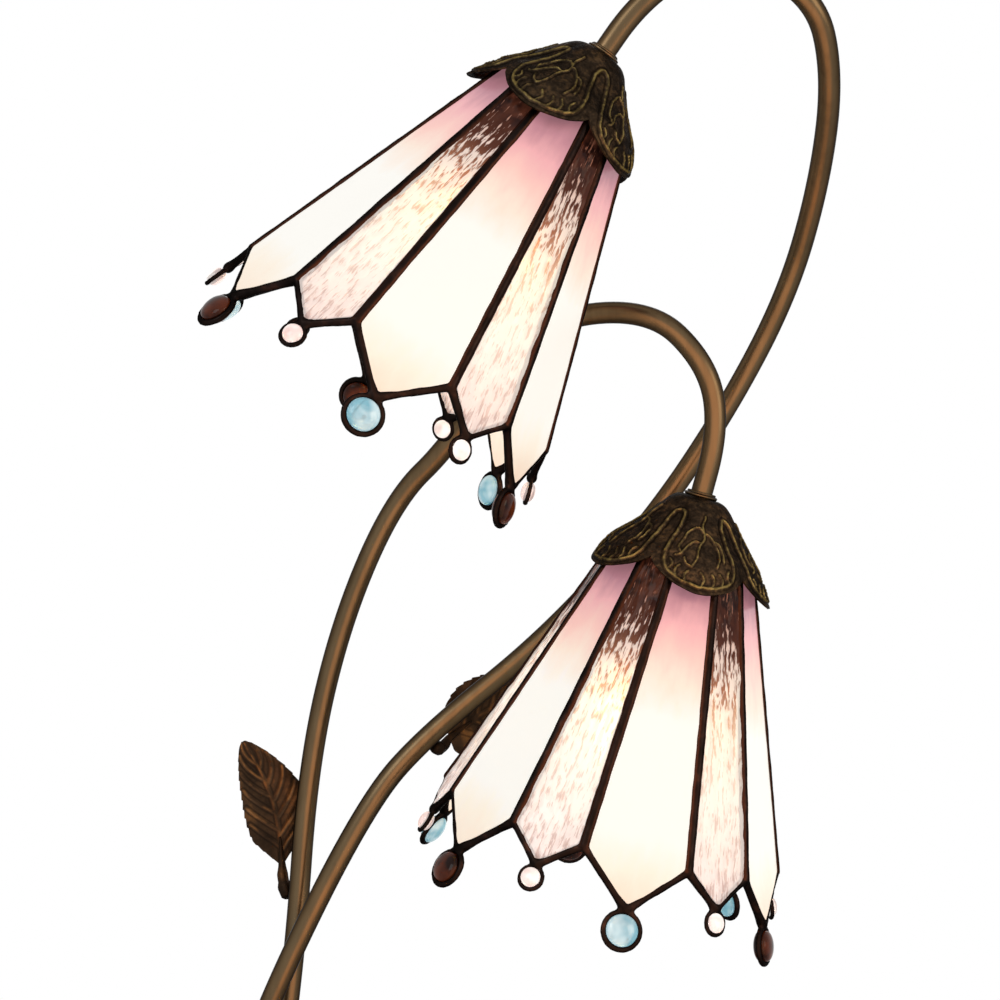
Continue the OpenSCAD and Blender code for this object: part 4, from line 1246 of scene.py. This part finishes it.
def leaf_veins(count, inner, outer):
    """Ribs that run out over the dome and fork towards the rim."""
    lines = []
    for k in range(count):
        a = TAU * k / count
        lean = 0.05 * math.sin(5 * k + 1)
        lines.append([(a + lean * j / 6, inner + (outer - inner) * j / 6) for j in range(7)])
        for way in (-1, 1):
            for share, reach in FORKS:
                spread = way * (math.pi / count) * 0.82
                r0 = inner + (outer - inner) * share
                r1 = r0 + (outer - inner) * reach
                lines.append([(a + lean * share + spread * (j / 6) ** 0.8, r0 + (r1 - r0) * (j / 6) ** 1.3)
                              for j in range(7)])
    return [curved([on_dome(a, r) for a, r in line]) for line in lines]


def hub_ribs(hub):
    """A long rib and two forks on each lobe of the leaf cap."""
    def on_hub(angle, r):
        place = Vector((mm(r) * math.cos(angle), mm(r) * math.sin(angle), mm(60) - mm(r)))
        return hub.closest_point_on_mesh(place)[1]
    ribs = []
    for a in (TAU * k / HUB_LOBES for k in range(HUB_LOBES)):
        ribs.append([on_hub(a, r) for r in range(13, HUB_R)])
        for way in (-1, 1):
            ribs.append([on_hub(a + way * 0.05 * j, 15 + 1.2 * j) for j in range(8)])
            ribs.append([on_hub(a + way * (0.42 - 0.006 * j * j), 16 + j) for j in range(9)])
    return ribs


def cast_base():
    """The domed casting: leaves in relief outside, a cavity inside and a sleeve for the inlet."""
    rows = [BASE_R - (BASE_R - BOSS_R) * (k / DOME_ROWS) ** 1.25 for k in range(1, DOME_ROWS)]
    profile = [(BASE_R, FOOT_Z + 0.6), (BASE_R, FOOT_Z + FOOT_H)] + [(r, dome_height(r)) for r in rows]
    profile += [(BOSS_R + 1, DOME_TOP), (BOSS_R, DOME_TOP + 0.6), (BOSS_R, BOSS_TOP), (0, BOSS_TOP),
                (0, WELL_Z), (BOSS_R, WELL_Z), (BOSS_R, DOME_TOP - WALL)]
    profile += [(r - WALL, dome_height(r) - WALL) for r in range(30, 88, 4)]
    profile += [(BASE_R - WALL, FOOT_Z + 1), (BASE_R - WALL, FOOT_Z), (BASE_R - 0.6, FOOT_Z),
                (BASE_R, FOOT_Z + 0.6)]
    casting = lathe("casting", profile, CASTING_STEPS)

    def outside(vertex):
        return vertex.normal.z > 0 and mm(8) < vertex.co.z < mm(DOME_TOP + 0.5)

    def hammered(p):
        if mm(8) < p.z < mm(DOME_TOP) and p.xy.length > mm(BOSS_R + 2):
            return p + Vector((0, 0, mm(0.5) * noise.noise(p * 45)))
        return p
    rim = [on_dome(TAU * j / 240, 84) for j in range(241)]
    emboss(casting, leaf_veins(10, 25, 80) + [rim], mm(0.9), mm(1.25), region=outside)
    shape(casting, hammered)
    drill_stem_holes(casting, 20, 45)
    drill(casting, to_back(lathe("bit", [(0, 70), (INLET_R, 70), (INLET_R, 95), (0, 95)], 48)))
    sleeve = lathe("sleeve", [(INLET_R, 76.2), (8.6, 76.2), (8.95, 76.6), (8.95, 89.8), (8.6, 90.2),
                              (INLET_R, 90.2)], 48, closed=True)
    piece = join("casting", [casting, to_back(sleeve)])
    piece.name = "base_casting_piece"
    return piece


def cast_hub():
    """The cap of six leaves round the foot of the stems."""
    low = BOSS_TOP + HUB_GAP
    lip = low + 0.8
    profile = [(0, low), (HUB_R - 1.2, low), (HUB_R - 0.2, lip)]
    profile += [(HUB_R * (1 - t ** 1.5 * 0.5), lip + (HUB_H - 0.8) * t ** 0.72)
                for t in (k / HUB_ROWS for k in range(1, HUB_ROWS + 1))]
    hub = lathe("hub", profile + [(0, low + HUB_H)], HUB_STEPS)

    def lobed(p):
        fold = abs(math.cos(HUB_LOBES / 2 * math.atan2(p.y, p.x)))
        k = 1 - HUB_CUT * (p.xy.length / mm(HUB_R)) ** 2 * (1 - fold ** 0.6)
        return Vector((p.x * k, p.y * k, p.z))
    mend(shape(hub, lobed))
    emboss(hub, hub_ribs(hub), mm(0.6), mm(0.7), region=lambda vertex: vertex.normal.z > -0.2)
    drill_stem_holes(hub, 30, 60)
    hub.name = "hub_cap_piece"
    return hub


class LAMP_OT_base(bpy.types.Operator):
    """Casts the domed base with its leaf relief, and the leaf cap round the stems"""
    bl_idname = "lamp.base"
    bl_label = "Base"

    def execute(self, context):
        settle(smooth(cast_base(), 40), "stand", "cast_bronze", "base_casting")
        settle(smooth(cast_hub(), 50), "stand", "cast_bronze", "hub_cap")
        return {"FINISHED"}


# ---- stage ----------------------------------------------------------------------------

LENS, SENSOR = 85.9, 36
CAMERA_PLACE, CAMERA_PITCH = mm(112, -1050, 420), math.radians(87.7)
LIT_MIDDLE = (0.1, 0, 0.35)
# name, place, target, size, power and colour; glow stands for what the lit shades throw on their own metal
LAMPS = (
    ("key", (-0.9, -1.3, 1.5), LIT_MIDDLE, (0.9, 0.9), 8, (1, 1, 1)),
    ("side", (1.4, -0.9, 0.7), LIT_MIDDLE, (0.8, 0.8), 7, (1, 0.82, 0.64)),
    ("back", (0.5, 1.6, 1.4), LIT_MIDDLE, (1.0, 1.0), 7, (1, 1, 1)),
    ("glow", (0.19, -0.22, 0.27), (0.19, 0, 0.27), (0.32, 0.5), 0.80, (1, 0.46, 0.16)),
)
WHITE = (1, 1, 1, 1)
ROOM_GREY = (0.42, 0.42, 0.43, 1)
FLOOR_GREY = (0.86, 0.86, 0.86, 1)
FLOOR_R, FLOOR_MIDDLE = 6, (0.1, 0, 0)
FADE_FROM, FADE_TO = 0.30, 0.62


def seen_rays(tree):
    """1 for a ray that the camera, glass or a reflection sends out, 0 for a ray that gathers soft light."""
    rays = tree.nodes.new("ShaderNodeLightPath")
    seen = rays.outputs["Is Camera Ray"]
    for name in ("Is Transmission Ray", "Is Glossy Ray"):
        either = tree.nodes.new("ShaderNodeMath")
        seen = put(either, operation="MAXIMUM", i0=seen, i1=rays.outputs[name]).outputs[0]
    return seen


def hang_lamp(name, place, target, size, power, tint):
    """One soft lamp, seen only by what it lights; the glow shows in reflections alone."""
    light = bpy.data.objects.new(name, bpy.data.lights.new(name, "AREA"))
    light.data.shape = "RECTANGLE"
    light.data.size, light.data.size_y = size
    light.data.energy = power
    light.data.color = tint
    light.location = place
    light.rotation_euler = (Vector(target) - Vector(place)).to_track_quat("-Z", "Y").to_euler()
    light.visible_camera = light.visible_transmission = False
    light.visible_diffuse = name != "glow"
    bpy.context.scene.collection.objects.link(light)


def lay_floor():
    """A pale floor that keeps the shadow and fades to white away from the lamp."""
    bpy.ops.object.select_all(action="DESELECT")
    bpy.ops.mesh.primitive_circle_add(vertices=96, radius=FLOOR_R, fill_type="NGON", location=FLOOR_MIDDLE)
    floor = name_piece("floor")
    bpy.ops.object.transform_apply(location=True, rotation=True, scale=True)
    paint = Paint("floor", Base_Color=FLOOR_GREY, Roughness=0.9, Specular_IOR_Level=0.0)
    away = paint.add("VectorMath", operation="DISTANCE", i0=paint.place, i1=FLOOR_MIDDLE).outputs["Value"]
    fade = paint.add("MapRange", Value=away, From_Min=FADE_FROM, From_Max=FADE_TO,
                     interpolation_type="SMOOTHSTEP").outputs[0]
    white = paint.add("Emission", Color=WHITE, Strength=1.0)
    both = paint.add("MixShader", i0=paint.math("MULTIPLY", fade, seen_rays(paint.tree)),
                     i1=paint.shader.outputs[0], i2=white.outputs[0])
    paint.tree.links.new(both.outputs[0], paint.tree.nodes["Material Output"].inputs[0])
    floor.data.materials.append(paint.material)


class LAMP_OT_stage(bpy.types.Operator):
    """Sets the camera, the lamps, the floor and the white surroundings"""
    bl_idname = "lamp.stage"
    bl_label = "Stage"

    def execute(self, context):
        scene = context.scene
        scene.view_settings.view_transform = "Standard"
        camera = bpy.data.objects.new("camera", bpy.data.cameras.new("camera"))
        camera.data.lens = LENS
        camera.data.sensor_width = SENSOR
        camera.data.clip_end = 50
        camera.location = CAMERA_PLACE
        camera.rotation_euler = (CAMERA_PITCH, 0, 0)
        scene.collection.objects.link(camera)
        scene.camera = camera
        for lamp in LAMPS:
            hang_lamp(*lamp)
        world = bpy.data.worlds.new("studio")
        scene.world = world
        world.use_nodes = True
        tree = world.node_tree
        mix = put(tree.nodes.new("ShaderNodeMix"), data_type="RGBA", i0=seen_rays(tree),
                  i6=ROOM_GREY, i7=WHITE)
        put(tree.nodes["Background"], Color=mix.outputs[2], Strength=1.0)
        lay_floor()
        return {"FINISHED"}


class LAMP_OT_carried(bpy.types.Operator):
    """Gives the frame's own pieces their finishes"""
    bl_idname = "lamp.carried"
    bl_label = "Finishes of the frame's pieces"

    def execute(self, context):
        slots = {row["node"]: row["material_slot"] for row in frame["record"]["subparts"]}
        for name, node in frame["nodes"].items():
            if node.hide_render:
                continue
            node.data.materials.clear()
            node.data.materials.append(MATERIALS[slots[name]]())
        return {"FINISHED"}


OPERATORS = [LAMP_OT_stage, LAMP_OT_stems, LAMP_OT_leaves, LAMP_OT_calyxes, LAMP_OT_glass, LAMP_OT_leading,
             LAMP_OT_stones, LAMP_OT_lights, LAMP_OT_base, LAMP_OT_carried]


class LAMP_PT_panel(bpy.types.Panel):
    """Shows the lamp's settings and the buttons that build its pieces"""
    bl_idname = "LAMP_PT_panel"
    bl_label = "Tulip shade lamp"
    bl_space_type = "VIEW_3D"
    bl_region_type = "UI"
    bl_category = "Lamp"

    def draw(self, context):
        for group in (settings().shade, settings().metal):
            for key in group.bl_rna.properties.keys():
                if key not in ("rna_type", "name"):
                    self.layout.prop(group, key)
        for operator in OPERATORS:
            self.layout.operator(operator.bl_idname)


CLASSES = [ShadeSettings, MetalSettings, LampSettings, *OPERATORS, LAMP_PT_panel]


def register():
    for cls in CLASSES:
        bpy.utils.register_class(cls)
    bpy.types.Scene.lamp_settings = PointerProperty(type=LampSettings)


def unregister():
    del bpy.types.Scene.lamp_settings
    for cls in reversed(CLASSES):
        bpy.utils.unregister_class(cls)


def main():
    register()
    for operator in OPERATORS:
        group, name = operator.bl_idname.split(".")
        getattr(getattr(bpy.ops, group), name)()


if __name__ == "__main__":
    main()
